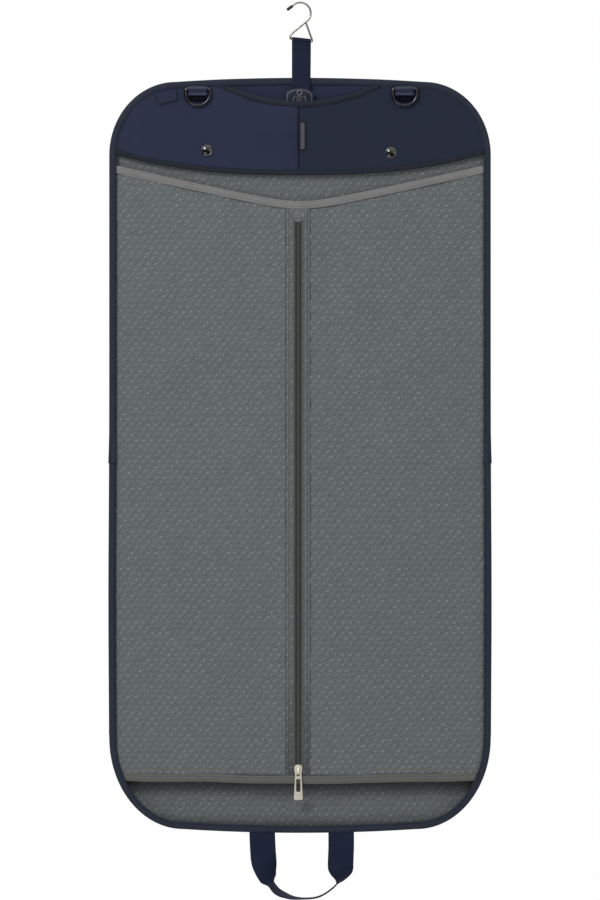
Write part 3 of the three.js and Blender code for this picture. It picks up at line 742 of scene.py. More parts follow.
# ---------------------------------------------------------------- the bag's outline
class End:
    """The top or bottom end of the outline: a slightly arched edge and an elliptical corner each side."""

    def __init__(self, edge, arch, wide, high, up):
        self.edge, self.arch, self.wide, self.high, self.up = edge, arch, wide, high, up
        self.corner_x = HALF_WIDTH - wide
        self.base = edge - up * (arch + high)

    def edge_z(self, x, inset=0.0):
        x = np.abs(np.asarray(x, float))
        flat = self.edge - self.up * (self.arch * (x / self.corner_x) ** 2 + inset)
        past = np.clip((x - self.corner_x) / (self.wide - inset), 0, 1)
        curved = self.base + self.up * (self.high - inset) * np.sqrt(1 - past**2)
        return np.where(x < self.corner_x, flat, curved)

    def half(self, inset, step):
        """From the middle of the edge out to the side, on the right."""
        xs = spaced(0, self.corner_x, step)
        straight = np.stack([xs, self.edge_z(xs, inset)], -1)
        count = max(8, int((self.wide + self.high) * 0.8 / step))
        a = np.linspace(np.pi / 2, 0, count + 1)[1:]
        turn = np.stack(
            [
                self.corner_x + (self.wide - inset) * np.cos(a),
                self.base + self.up * (self.high - inset) * np.sin(a),
            ],
            -1,
        )
        return np.concatenate([straight, turn])


TOP = End(TOP_Z, 0.0062, 0.097, 0.107, 1)
BOTTOM = End(BOTTOM_Z, 0.0055, 0.108, 0.133, -1)


def side_bow(z):
    """The hanging bag's sides bow out very slightly below the middle."""
    return 0.0013 * nearby(z, -0.87, 0.17)


def ring(inset, step=0.005):
    """The whole outline set in by inset, as a closed loop from the middle of the top, clockwise."""
    top, bottom = TOP.half(inset, step), BOTTOM.half(inset, step)[::-1]
    z = spaced(TOP.base, BOTTOM.base, step)[1:-1]
    side = np.stack([HALF_WIDTH - inset + side_bow(z), z], -1)
    right = np.concatenate([top, side, bottom])
    left = right[1:-1][::-1] * (-1, 1)
    return np.concatenate([right, left])


def binding_face(x, z):
    """Behind the hook strap the top binding lies back on the pocket's rear wall."""
    behind = smooth((POCKET_HALF - np.abs(x)) / 0.045) * (z > TOP.base)
    return BINDING_FRONT + BINDING_DIP * behind


def yoke_face(x, z):
    """The yoke stands forward over the hook pocket."""
    across = smooth(1 - np.abs(x) / (POCKET_HALF + 0.002))
    down = smooth((z + 0.245) / 0.095)
    return YOKE_FRONT - POCKET_BULGE * across * down


def yoke_low(x):
    return YOKE_LOW + YOKE_RISE * (np.abs(x) / YOKE_HALF) ** 2.6


def v_top(x):
    return V_LOW + V_SLOPE * (np.hypot(x, V_ROUND) - V_ROUND)


def mouth_top(x):
    return MOUTH_LOW + MOUTH_RISE * (x / POCKET_HALF) ** 2


# ---------------------------------------------------------------- shell
def ring_strip(name, section, material, offset=0.0, closed_section=True, step=0.005, wobble=0.0, seed=0.0):
    """A closed loop round the bag. section lists (inset, depth) pairs; depth follows the binding's dip."""
    loops = [ring(inset, step) for inset, _ in section]
    centre = ring(BINDING / 2, step)
    dip = (binding_face(*centre.T) - BINDING_FRONT) * offset
    travelled = distance_along(centre)
    ripple = wobble * cloth_noise(travelled, np.zeros_like(travelled), 0.028, seed)
    points, flat = [], []
    width = 0.0
    for k, (inset, y) in enumerate(section):
        if k:
            width += math.dist(section[k], section[k - 1])
        share = 1 - min(1.0, abs(y - BINDING_FRONT) / 0.02)
        x, z = loops[k].T
        points.append(places(x, y + dip * share + ripple, z))
        flat.append(np.stack([np.full_like(travelled, width), travelled], -1))
    points, flat = np.concatenate(points), np.concatenate(flat)
    faces = grid_faces(len(section), len(centre), close_rows=closed_section, close_columns=True)
    return new_mesh(name, points, faces, material, flat)


def make_binding(mats):
    """The tape is folded round the edge: a crowned front face, a round outer edge and a back flap."""
    front, back = BINDING_FRONT, BINDING_BACK
    section = [
        (BINDING, front + 0.0019),
        (BINDING - 0.0002, front + 0.0008),
        (BINDING - 0.001, front + 0.0003),
        (BINDING - 0.0018, front + 0.00035),
        (BINDING * 0.6, front - 0.0001),
        (BINDING * 0.35, front - 0.0001),
        (BINDING * 0.15, front + 0.0004),
        (0.0003, front + 0.0014),
        (0.0, front + 0.003),
        (0.0003, back - 0.0014),
        (0.0016, back - 0.0003),
        (BINDING * 0.6, back),
        (BINDING, back - 0.001),
    ]
    o = ring_strip("edge_binding", section, mats["binding"], offset=1.0, wobble=0.00022, seed=3.0)
    placed(o, "navy_binding", FOLD, "edge_binding_upper", "edge_binding_lower")

    inner = ring(BINDING - 0.0018)
    x, z = inner.T
    path = places(x, binding_face(x, z) + 0.0001, z)
    row = stitches("edge_binding_stitches", np.vstack([path, path[:1]]), mats["thread_navy"], pitch=0.0034)
    placed(row, "navy_binding", FOLD)

    # The upper length laps over the lower one at mid-height, and stands a little proud of it.
    for name, side in SIDES:
        z = spaced(FOLD_Z + 0.036, FOLD_Z - 0.005, 0.0015)
        rise = np.linspace(0, 1, len(z)) ** 1.3
        lap = []
        for inset, depth in section:
            outward = 0.0010 * np.clip(1 - inset / 0.005, 0, 1)
            outward -= 0.0008 * np.clip(inset / BINDING, 0, 1) ** 2
            x = side * (HALF_WIDTH - inset + side_bow(z) + outward * rise + 0.0001)
            forward = 0.0007 if depth < front + 0.002 else -0.0003
            lap.append(places(x, depth - forward * rise, z))
        points = np.concatenate(lap)
        flat = np.stack([np.repeat([s[0] for s in section], len(z)), np.tile(z, len(section))], -1)
        faces = grid_faces(len(section), len(z), close_rows=True, flip=side < 0)
        faces.append([k * len(z) + len(z) - 1 for k in range(len(section))])
        patch = new_mesh(f"binding_lap_{name}", points, faces, mats["binding"], flat)
        cleaned(patch)
        placed(patch, "navy_binding", FOLD)


def make_gusset(mats):
    """The side wall bows out a little between the binding and the back seam."""
    depths = np.linspace(BINDING_BACK - 0.001, BACK_PANEL_Y, 9)
    t = (depths - depths[0]) / (depths[-1] - depths[0])
    insets = 0.0022 - 0.0024 * np.sin(np.pi * t)
    section = list(zip(insets, depths))
    o = ring_strip("side_gusset", section, mats["nylon"], 1.0, closed_section=False, wobble=0.0005, seed=8.0)
    thicken(o, 0.0009)
    placed(o, "navy_nylon", FOLD, "side_gusset_upper", "side_gusset_lower")
    edge, radius = BACK_PANEL_Y + 0.0012, 0.0019
    cord = [(0.0016 - radius * math.cos(a), edge + radius * math.sin(a)) for a in around(8)]
    seam = ring_strip("back_seam_piping", cord, mats["plain_binding"])
    placed(seam, "navy_binding", FOLD)


def full_panel(name, inset, depth, material, thickness, step=0.0085):
    """A sheet with the bag's whole outline, from the top edge to the bottom edge."""
    reach = HALF_WIDTH - inset
    return panel(
        name,
        spaced(-reach, reach, step, dense_ends=True),
        lambda x: TOP.edge_z(x, inset),
        lambda x: BOTTOM.edge_z(x, inset),
        int((TOP_Z - BOTTOM_Z) / step),
        depth,
        material,
        thickness,
        held="stretched",
        rests_on=["edge_binding"],
    )


def edge_distance(x, z):
    """How far a place is from the nearest side or end, roughly."""
    side = HALF_WIDTH - np.abs(x)
    return np.minimum(side, np.minimum(TOP_Z - z, z - BOTTOM_Z))


def make_back(mats):
    """The plain back is drawn tight at its seams and fills out a little in between."""

    def outer(x, z):
        inward = smooth(edge_distance(x, z) / 0.09)
        soft = cloth_noise(x, z, 0.16, 4.0, 0.6) + 0.45 * cloth_noise(x, z, 0.055, 9.0, 0.8)
        pucker = 0.0005 * cloth_noise(x, z, 0.014, 5.0) * (1 - smooth(edge_distance(x, z) / 0.03))
        return BACK_PANEL_Y + 0.0012 + 0.0042 * inward + 0.0011 * soft * inward + pucker

    back = full_panel("back_panel", 0.0012, outer, mats["nylon"], 0.0007)
    back.data.flip_normals()
    placed(back, "navy_nylon", FOLD, "back_panel_upper", "back_panel_lower")

    def inner(x, z):
        soft = cloth_noise(x, z, 0.12, 14.0, 0.7)
        drawn_up = 0.0130 * smooth((z + 0.36) / 0.07) * (1 - smooth((z + 0.215) / 0.045))
        foot = smooth((-z - 1.10) / 0.03) * (1 - smooth((-z - 1.155) / 0.05))
        gathers = 0.0016 * cloth_noise(x, z * 0.12, 0.011, 17.0)
        gathers = gathers + 0.001 * cloth_noise(x, z * 0.2, 0.03, 18.0)
        room = smooth((z - BOTTOM.edge_z(x, 0.0)) / 0.045) * smooth((HALF_WIDTH - np.abs(x)) / 0.045)
        behind_hem = 0.003 * room * nearby(z, HEM_LOW, 0.02)
        sag = 0.006 * smooth((-z - 1.16) / 0.04) * smooth(edge_distance(x, z) / 0.03)
        return BACK_LINING_Y - 0.0012 + 0.0009 * soft - drawn_up - sag + behind_hem + gathers * foot * room

    inside = full_panel("back_lining", 0.0034, inner, mats["inside"], 0.0004)
    placed(inside, "grey_lining", FOLD, "back_lining_upper", "back_lining_lower")


# ---------------------------------------------------------------- curtain and zip
def curtain_low(x):
    return np.maximum(HEM_TOP - 0.001, BOTTOM.edge_z(x, BINDING - 0.003))


def curtain_face(x, z):
    """Light cloth hung from its upper tape: soft upright swells, and small puckers along its seams."""
    slant = x + 0.45 * z
    swell = 0.0014 * cloth_noise(x, z, 0.11, 21.0, 0.45) + 0.0011 * cloth_noise(slant, z, 0.034, 33.0, 0.55)
    from_zip = np.abs(x - ZIP_X) - ZIP_BAND
    off_side = smooth((HALF_WIDTH - BINDING - np.abs(x)) / 0.02)
    near_zip = 1 - smooth(from_zip / 0.03)
    pucker = 0.0009 * cloth_noise(x * 0.25, z, 0.011, 40.0) * np.maximum(near_zip, 1 - off_side)
    held = smooth((from_zip + 0.004) / 0.03) * off_side
    return CURTAIN_Y + 0.0004 + swell * held + pucker


def make_curtain(mats):
    side = HALF_WIDTH - BINDING + 0.0024
    for name, sign in SIDES:
        near, far = ZIP_X + sign * (ZIP_BAND - 0.001), sign * side
        xs = np.sort(spaced(near, far, 0.0055))
        o = panel(
            f"curtain_{name}",
            xs,
            lambda x: v_top(x) - V_BAND + 0.002,
            curtain_low,
            150,
            curtain_face,
            mats["lining"],
            0.0004,
            held="hung",
            rests_on=["edge_binding"],
        )
        placed(o, "grey_lining", FOLD, f"curtain_{name}_upper", f"curtain_{name}_lower")
    make_tapes(mats)


def make_tapes(mats):
    """The two taupe tapes that hem the curtain, each with a row of stitches near both edges."""
    side = HALF_WIDTH - BINDING + 0.0015
    face = CURTAIN_Y - 0.0013

    def crowned(low, high):
        def depth(x, z):
            t = (z - low(x)) / (high(x) - low(x))
            return face + 0.0002 * cloth_noise(x, z, 0.02, 50.0) + 0.0004 * np.abs(2 * t - 1) ** 3

        return depth

    v_low = lambda x: v_top(x) - V_BAND - 0.0017
    v_high = lambda x: v_top(x) + 0.0008
    xs = spaced(-side, side, 0.004)
    crown = crowned(v_low, v_high)
    top = panel("curtain_top_tape_sewn", xs, v_high, v_low, 9, crown, mats["tape"], 0.0012, True)
    placed(top, "taupe_tape", "upper_half", "curtain_top_tape")
    hem_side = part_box("curtain_bottom_tape")[1].x + 0.0068
    sagging = lambda x: 0.0052 * (np.abs(x) / 0.26) ** 1.6 + 0.0008 * cloth_noise(x, x * 0, 0.09, 71.0)
    low = lambda x: np.maximum(HEM_LOW + sagging(x), BOTTOM.edge_z(x, BINDING - 0.003))
    high = lambda x: np.maximum(low(x) + 0.002, HEM_TOP + 0.0004 + sagging(x))
    xs = spaced(-hem_side, hem_side, 0.004)
    crown = crowned(low, high)
    hem = panel("curtain_bottom_tape_sewn", xs, high, low, 9, crown, mats["hem"], 0.0012, True)
    placed(hem, "taupe_tape", "lower_half", "curtain_bottom_tape")
    for base, o_high, o_low, reach, body in (
        ("top", v_high, v_low, side, "upper_half"),
        ("bottom", high, low, hem_side, "lower_half"),
    ):
        xs = spaced(-reach + 0.009, reach - 0.009, 0.004)
        for label, share in (("upper", 0.27), ("lower", 0.74)):
            z = o_high(xs) * (1 - share) + o_low(xs) * share
            path = places(xs, np.full_like(xs, face + 0.00012), z)
            row = stitches(f"{base}_tape_{label}_stitches", path, mats["thread_taupe"], pitch=0.0031)
            placed(row, "taupe_tape", body)


def make_zip(mats):
    """Placket bands beside the zip tape, three rows of stitches on each, and the coil's two halves."""
    top = lambda x: v_top(x) - V_BAND + 0.0015
    bottom = level(HEM_TOP - 0.0008)
    under_tape = -0.297  # the rows of stitches start just below the V tape
    for name, sign in SIDES:
        outer, inner = ZIP_X + sign * ZIP_BAND, ZIP_X + sign * ZIP_BAND_INNER

        def depth(x, z, sign=sign):
            t = (sign * (x - ZIP_X) - ZIP_BAND_INNER) / (ZIP_BAND - ZIP_BAND_INNER)
            fold = 0.0006 * np.abs(2 * np.clip(t, 0, 1) - 1) ** 4
            ripple = 0.00035 * cloth_noise(x * 0.3, z, 0.012, 60.0 + sign)
            return CURTAIN_Y - 0.0007 + fold + ripple * np.sin(np.pi * np.clip(t, 0, 1))

        xs = np.sort(spaced(inner, outer, 0.0016))
        o = panel(
            f"zip_band_{name}",
            xs,
            top,
            bottom,
            240,
            depth,
            mats["placket"],
            0.0007,
            held="stretched",
            rests_on=[f"curtain_{name}"],
        )
        placed(o, "grey_lining", FOLD, f"zip_band_{name}_upper", f"zip_band_{name}_lower")
        xs = np.sort(spaced(inner - sign * 0.0006, ZIP_X + sign * 0.0070, 0.0006))
        raised = lambda x, z, depth=depth: depth(x, z) - 0.00035
        ends = level(ZIP_TOP + 0.0012), bottom
        tape = panel(f"zip_edge_tape_{name}", xs, *ends, 240, raised, mats["zip_edge"], 0.0006)
        placed(tape, "grey_lining", FOLD)
        for label, place in (("outer", 0.0148), ("middle", 0.0117), ("inner", 0.0071)):
            z = spaced(ZIP_TOP if label == "inner" else under_tape, HEM_TOP + 0.001, 0.004)
            x = np.full_like(z, ZIP_X + sign * place)
            path = places(x, depth(x, z) - 0.00005, z)
            row = stitches(f"zip_{name}_{label}_stitches", path, mats["thread_grey"], pitch=0.0029)
            placed(row, "grey_lining", FOLD)
        make_chain_side(name, sign, mats)
    xs = spaced(ZIP_X - 0.008, ZIP_X + 0.008, 0.002)
    under = lambda x, z: CURTAIN_Y - 0.0001 + 0.0003 * cloth_noise(x, z, 0.012, 66.0)
    closed = panel(
        "zip_top_patch",
        xs,
        top,
        level(ZIP_TOP - 0.002),
        12,
        under,
        mats["placket"],
        0.0005,
        held="stretched",
        rests_on=["zip_band_left", "zip_band_right"],
    )
    placed(closed, "grey_lining", "upper_half")
    tacks = []
    for i in range(4):
        z = ZIP_TOP + 0.0060 - 0.0009 * i
        row = [(ZIP_X + side * 0.0075, CURTAIN_Y - 0.0012, z) for side in (-1, 1)]
        tacks.append(stitches(f"tack_{i}", row, mats["thread_pale"], 0.015, 0.014, 0.0005))
    bar = joined("zip_bartack", tacks)
    placed(bar, "zip_coil", "upper_half", "zip_top_stop")


def make_chain_side(name, sign, mats):
    """One half of the chain: its woven tape, and a coil whose turns reach just past the middle."""
    half = 0.0047
    xs = np.sort(spaced(ZIP_X + sign * 0.0003, ZIP_X + sign * half, 0.0007))
    face = level(CHAIN_Y + 0.0012)
    tape = panel(
        f"zip_tape_{name}", xs, level(ZIP_TOP), level(HEM_TOP), 160, face, mats["zip_tape"], 0.0005
    )
    pitch, radius = 0.0016, 0.00042
    count = int((ZIP_TOP - HEM_TOP) / pitch)
    turn = np.linspace(0, 1, 7)
    points, faces = [], []
    sides = 5
    for i in range(count):
        z0 = ZIP_TOP - (i + (0.5 if sign > 0 else 0.0)) * pitch
        if z0 < HEM_TOP + 0.001:
            continue
        base = len(points)
        for t in turn:
            a = math.pi * t
            x = ZIP_X + sign * (0.0029 - 0.0034 * math.sin(a) ** 0.7)
            crest = nearby(sign * (x - ZIP_X), 0.0015, 0.001)
            y = CHAIN_Y + 0.0012 - 0.0015 * crest
            z = z0 + pitch * 0.3 * math.cos(a)
            for k in range(sides):
                b = ROUND * k / sides
                aside, up = radius * math.cos(b), radius * math.sin(b)
                points.append((x + 0.5 * aside, y + up, z + aside))
        rows = grid_faces(len(turn), sides, close_columns=True)
        faces += [tuple(base + v for v in f) for f in rows]
    coil = new_mesh(f"zip_coil_{name}", points, faces, mats["coil"])
    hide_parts(f"zip_chain_{name}_upper", f"zip_chain_{name}_lower")
    for o in (tape, coil):
        placed(o, "zip_coil", FOLD)


def lathe(name, profile, material, segments=40):
    """A turned piece about +Z at the origin; profile lists (radius, height) pairs."""
    points = []
    for k in range(segments):
        a = ROUND * k / segments
        points += [(r * math.cos(a), r * math.sin(a), h) for r, h in profile]
    faces = grid_faces(segments, len(profile), close_rows=True)
    o = new_mesh(name, points, faces, material)
    cleaned(o)
    return o


def cleaned(o, distance=1e-6):
    """Merges doubled points and turns the faces outwards."""
    b = bmesh.new()
    b.from_mesh(o.data)
    bmesh.ops.remove_doubles(b, verts=b.verts, dist=distance)
    bmesh.ops.dissolve_degenerate(b, edges=b.edges, dist=distance / 10)
    bmesh.ops.recalc_face_normals(b, faces=b.faces)
    b.to_mesh(o.data)
    b.free()


def outline_plate(name, outline, holes, y0, y1, material, bevel=0.0003, segments=3):
    """A plate in X and Z between depths y0 and y1, with holes, its edges rounded."""
    curve = bpy.data.curves.new(name, "CURVE")
    curve.dimensions = "2D"
    curve.fill_mode = "BOTH"
    for loop in (outline, *holes):
        spline = curve.splines.new("POLY")
        spline.points.add(len(loop) - 1)
        for point, (x, z) in zip(spline.points, loop):
            point.co = (x, z, 0, 1)
        spline.use_cyclic_u = True
    curve.extrude = (y1 - y0) / 2 - bevel
    curve.bevel_depth = bevel
    curve.bevel_resolution = segments
    o = bpy.data.objects.new(name, curve)
    bpy.context.scene.collection.objects.link(o)
    o.rotation_euler = (math.radians(90), 0, 0)
    o.location = (0, (y0 + y1) / 2, 0)
    bpy.context.view_layer.update()
    mesh = bpy.data.meshes.new_from_object(o.evaluated_get(bpy.context.evaluated_depsgraph_get()))
    mesh.transform(o.matrix_world)
    bpy.data.objects.remove(o)
    mesh.name = name
    mesh.materials.clear()
    mesh.materials.append(material)
    made = bpy.data.objects.new(name, mesh)
    bpy.context.scene.collection.objects.link(made)
    cleaned(made)
    mesh.polygons.foreach_set("use_smooth", [True] * len(mesh.polygons))
    made.modifiers.new("edges", "EDGE_SPLIT").split_angle = math.radians(35)
    return made


def rounded(points, radius, steps=6):
    """A closed outline with each corner rounded; radius is one number or one for each corner."""
    n = len(points)
    radii = [radius] * n if np.isscalar(radius) else radius
    out = []
    for i in range(n):
        p, a, b = (np.array(points[j % n], float) for j in (i, i - 1, i + 1))
        ends = [p + unit(q - p) * radii[i] for q in (a, b)]
        for t in np.linspace(0, 1, steps + 1):
            out.append((1 - t) ** 2 * ends[0] + 2 * t * (1 - t) * p + t**2 * ends[1])
    return [tuple(q) for q in out]


def oblong(x, z, wide, high, radius, steps=6):
    w, h = wide / 2, high / 2
    return rounded([(x - w, z - h), (x + w, z - h), (x + w, z + h), (x - w, z + h)], radius, steps)


def make_slider(mats):
    """Die-cast slider: a waisted top plate with a raised arch, a back plate, and the puller's frame."""
    lo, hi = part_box("zip_slider")
    middle, top, low = (lo.x + hi.x) / 2, hi.z, lo.z
    wide = hi.x - lo.x
    front = CHAIN_Y - 0.0003
    w = wide / 2
    shape = [
        (middle - w * 0.62, top),
        (middle - w, top - 0.003),
        (middle - w * 0.94, low + 0.0055),
        (middle - w * 0.72, low),
        (middle + w * 0.72, low),
        (middle + w * 0.94, low + 0.0055),
        (middle + w, top - 0.003),
        (middle + w * 0.62, top),
    ]
    outline = rounded(shape, 0.0012, 4)
    face = outline_plate("slider_face", outline, [], front - 0.0019, front, mats["gold"], 0.0005)
    rear = outline_plate("slider_rear", outline, [], hi.y - 0.0012, hi.y, mats["gold"], 0.0003)
    pivot_y, pivot_z = front - 0.0037, (top + low) / 2 - 0.0034
    arch = [
        (middle, front - 0.0014, pivot_z + 0.0078),
        (middle, front - 0.003, pivot_z + 0.0074),
        (middle, pivot_y - 0.0016, pivot_z + 0.0028),
        (middle, pivot_y - 0.0021, pivot_z),
        (middle, pivot_y - 0.0012, pivot_z - 0.0021),
        (middle, pivot_y + 0.0006, pivot_z - 0.0028),
        (middle, front - 0.0012, pivot_z - 0.003),
    ]
    bow = tube("slider_arch", curve_through(arch, 0.0003), 0.0006, mats["gold"], 10)
    for v in bow.data.vertices:
        v.co.x = middle + (v.co.x - middle) * 2.1
    body = joined("zip_slider_cast", [face, rear, bow])
    placed(body, "pale_gold_metal", "zip_slider", "zip_slider")

    lo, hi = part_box("zip_puller")
    x, half = (lo.x + hi.x) / 2, (hi.x - lo.x) / 2
    neck = half * 0.667
    sides = [(x - half, lo.z), (x + half, lo.z), (x + neck, hi.z), (x - neck, hi.z)]
    window = oblong(x, hi.z - 0.020, 0.0068, 0.0192, 0.0018)
    eye = oblong(x, hi.z - 0.0016 - 0.0026, 0.0052, 0.0052, 0.0016)
    frame_ = rounded(sides, [0.0026, 0.0026, 0.0018, 0.0018])
    puller = outline_plate("zip_puller_frame", frame_, [window, eye], lo.y, hi.y, mats["gold"], 0.0003)
    placed(puller, "pale_gold_metal", "zip_puller", "zip_puller")


# ---------------------------------------------------------------- yoke and pocket
def make_yoke(mats):
    edge = HALF_WIDTH - BINDING + 0.0016
    cover = 0.003  # how far the cloth runs on under the bindings

    def top(x):
        under_edge = TOP.edge_z(x, BINDING - cover)
        under_mouth = np.minimum(under_edge, mouth_top(x) - MOUTH_BAND + cover)
        return np.where(np.abs(x) < POCKET_HALF, under_mouth, under_edge)

    def bottom(x):
        return yoke_low(x) + YOKE_BAND - cover

    def depth(x, z):
        soft = 0.0007 * cloth_noise(x, z, 0.05, 81.0) + 0.00035 * cloth_noise(x, z, 0.02, 83.0)
        seam = 0.0021 * nearby(x, SEAM_X, 0.0013) + 0.0007 * nearby(x, SEAM_X, 0.006)
        pull = 0.0006 * nearby(x, SEAM_X, 0.02) * cloth_noise(x * 0.3, z, 0.012, 85.0)
        return yoke_face(x, z) + 0.0003 + soft + seam + pull

    for name, a, b in (("left", -edge, SEAM_X - 0.0003), ("right", SEAM_X + 0.0003, edge)):
        xs = spaced(a, b, 0.0035, dense_ends=True)
        # The right panel takes the painted-shade copy of the nylon.
        cloth = mats["nylon" if name == "left" else "nylon_painted_shade"]
        held = {"held": "stretched", "rests_on": ["edge_binding"]}
        o = panel(f"yoke_{name}", xs, top, bottom, 38, depth, cloth, 0.0009, **held)
        placed(o, "navy_nylon", "upper_half", f"yoke_{name}_panel")

    face = YOKE_FRONT - 0.0009
    high = lambda x: yoke_low(x) + YOKE_BAND

    def crown(x, z):
        t = (z - yoke_low(x)) / YOKE_BAND
        return face + 0.0009 * np.abs(2 * t - 1) ** 3 + 0.0002 * cloth_noise(x, z, 0.02, 90.0)

    thread = mats["thread_navy"]
    xs = spaced(-edge, edge, 0.004)
    band = panel("yoke_hem_binding", xs, high, yoke_low, 9, crown, mats["yoke_binding"], 0.0018, True)
    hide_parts("yoke_lower_binding")
    row = stitches("yoke_hem_stitches", places(xs, xs * 0 + face, yoke_low(xs) + 0.0062), thread)
    lip_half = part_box("pocket_mouth_binding")[1].x
    lip_low = lambda x: mouth_top(x) - MOUTH_BAND
    lip_top = lambda x: np.minimum(mouth_top(x), TOP.edge_z(x, BINDING - 0.0006))

    def lip_face(x, z):
        t = np.clip((z - lip_low(x)) / MOUTH_BAND, 0, 1)
        return yoke_face(x, x * 0 - 0.15) - 0.0007 + 0.0012 * np.abs(2 * t - 1) ** 2.5

    xs = spaced(-lip_half, lip_half, 0.003)
    lip = panel("pocket_mouth_tape", xs, lip_top, lip_low, 9, lip_face, mats["mouth_binding"], 0.0024, True)
    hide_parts("pocket_mouth_binding")
    z = lip_low(xs) + 0.0030
    lip_row = stitches("pocket_mouth_stitches", places(xs, lip_face(xs, z) - 0.0001, z), thread)
    z = spaced(yoke_low(0) + 0.009, MOUTH_LOW - MOUTH_BAND - 0.002, 0.003)
    x = z * 0 + SEAM_X - 0.0028
    seam_row = stitches("yoke_seam_stitches", places(x, depth(x, z) - 0.0001, z), thread)
    for o in (band, row, lip, lip_row, seam_row):
        placed(o, "navy_binding", "upper_half")

    rear_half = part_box("pocket_back_panel")[1].x

    def back_face(x, z):
        """Sewn in with the top binding, so it comes forward there, except behind the hook strap."""
        rising = smooth((z - TOP.edge_z(x, BINDING) + 0.026) / 0.024) * smooth((np.abs(x) - 0.026) / 0.03)
        sewn = np.maximum(binding_face(x, z) + 0.0022, yoke_face(x, z) + 0.0028)
        return POCKET_BACK_Y * (1 - rising) + sewn * rising + 0.0006 * cloth_noise(x, z, 0.05, 95.0)

    rear = panel(
        "pocket_rear_wall",
        spaced(-rear_half, rear_half, 0.008),
        lambda x: TOP.edge_z(x, BINDING - 0.002),
        lambda x: yoke_low(x) + 0.014,
        40,
        back_face,
        mats["nylon"],
        0.0008,
        held="stretched",
        rests_on=["edge_binding"],
    )
    placed(rear, "navy_nylon", "upper_half", "pocket_back_panel")


def make_label(mats):
    """A blank patch caught in the yoke's centre seam, its free corners rounded, with a paler raised face."""
    lo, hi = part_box("side_label")
    corners = [(lo.x, lo.z), (hi.x, lo.z), (hi.x, hi.z), (lo.x, hi.z)]
    shape = rounded(corners, [0.0004, 0.0026, 0.0026, 0.0004])
    flat = outline_plate("label_face", shape, [], -0.0011, 0.0, mats["label"], 0.0003)
    near, far, rim = lo.x + 0.0026, hi.x - 0.0022, 0.0018
    corners = [(near, lo.z + rim), (far, lo.z + rim), (far, hi.z - rim), (near, hi.z - rim)]
    inner = rounded(corners, [0.0003, 0.0016, 0.0016, 0.0003])
    raised = outline_plate("label_raised", inner, [], -0.0014, -0.0006, mats["label_stripe"], 0.0002)
    label = joined("seam_label", [flat, raised])
    b = bmesh.new()
    b.from_mesh(label.data)
    for _ in range(3):
        long_edges = [e for e in b.edges if e.calc_length() > 0.004]
        bmesh.ops.subdivide_edges(b, edges=long_edges, cuts=1, use_grid_fill=True)
    bmesh.ops.triangulate(b, faces=[f for f in b.faces if len(f.verts) > 4])
    b.to_mesh(label.data)
    b.free()
    for v in label.data.vertices:
        v.co.y += float(yoke_face(v.co.x, v.co.z)) + 0.0002
    placed(label, "label_patch", "upper_half", "side_label")


def make_bracket(mats):
    """Glossy moulded bracket in the pocket: an arched plate, two ribs, and the latch with its ring."""
    lo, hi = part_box("hanger_bracket")
    middle, half = (lo.x + hi.x) / 2, (hi.x - lo.x) / 2
    shoulder = -0.134  # the arch springs from here
    arch = [(middle - half, lo.z), (middle + half, lo.z)]
    for a in np.linspace(0, np.pi, 25):
        arch.append((middle + half * math.cos(a), shoulder + (hi.z - shoulder) * math.sin(a)))
    back = outline_plate("bracket_plate", arch, [], hi.y - 0.0024, hi.y, mats["plastic"], 0.0006)
    parts = [back]
    rail_x, rail_away, rail_z, rail_long = -0.0007, 0.0086, -0.1515, 0.037
    # The pale edge of each rib, painted highlight and wear, hooks inwards at its top: how far out, and how
    # high.
    hooked = [(0.0088, -0.1685), (0.0088, -0.1405), (0.0082, -0.1376), (0.0066, -0.136), (0.005, -0.1356)]
    for side in (-1, 1):
        rib = oblong(rail_x + side * rail_away, rail_z, 0.0026, rail_long, 0.0011)
        name = f"bracket_rib_{side}"
        parts.append(outline_plate(name, rib, [], lo.y, hi.y - 0.002, mats["plastic"], 0.0005))
        edge = [(rail_x + side * out, lo.y + 0.0002, z) for out, z in hooked]
        parts.append(tube(f"rib_edge_{side}", curve_through(edge, 0.0012), 0.0009, mats["rim"], 8))
    # The rim is paler: painted highlight, partly wear.
    rim = [(middle + (x - middle) * 0.9, hi.y - 0.0026, z - 0.0018) for x, z in [*arch[1:], arch[0]]]
    parts.append(tube("bracket_rim", curve_through(rim, 0.001), 0.0008, mats["rim"], 8))
    whole = joined("hanger_bracket_moulded", parts)
    placed(whole, "dark_plastic", "upper_half", "hanger_bracket")

    lo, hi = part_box("hanger_latch")
    ring_z = hi.z - 0.0044
    ring_y, radius = (lo.y + hi.y) / 2, 0.0033
    loop = [(rail_x + radius * math.cos(a), ring_y, ring_z + radius * math.sin(a)) for a in around(32)]
    eye = tube("latch_ring", loop, 0.0013, mats["rim"], 10, closed=True)
    # The tongue is shorter than the CAD one and set back, to clear the yoke when the latch is pulled down.
    shape = oblong(rail_x, -0.1487, 0.0088, 0.0265, 0.0018)
    tongue = outline_plate("latch_tongue", shape, [], lo.y + 0.0006, hi.y, mats["tongue"], 0.0006)
    latch = joined("hanger_latch_moulded", [tongue, eye])
    placed(latch, "dark_plastic", "hanger_latch", "hanger_latch")
    dressed("top_stiffener", mats["board"], 0.0006)


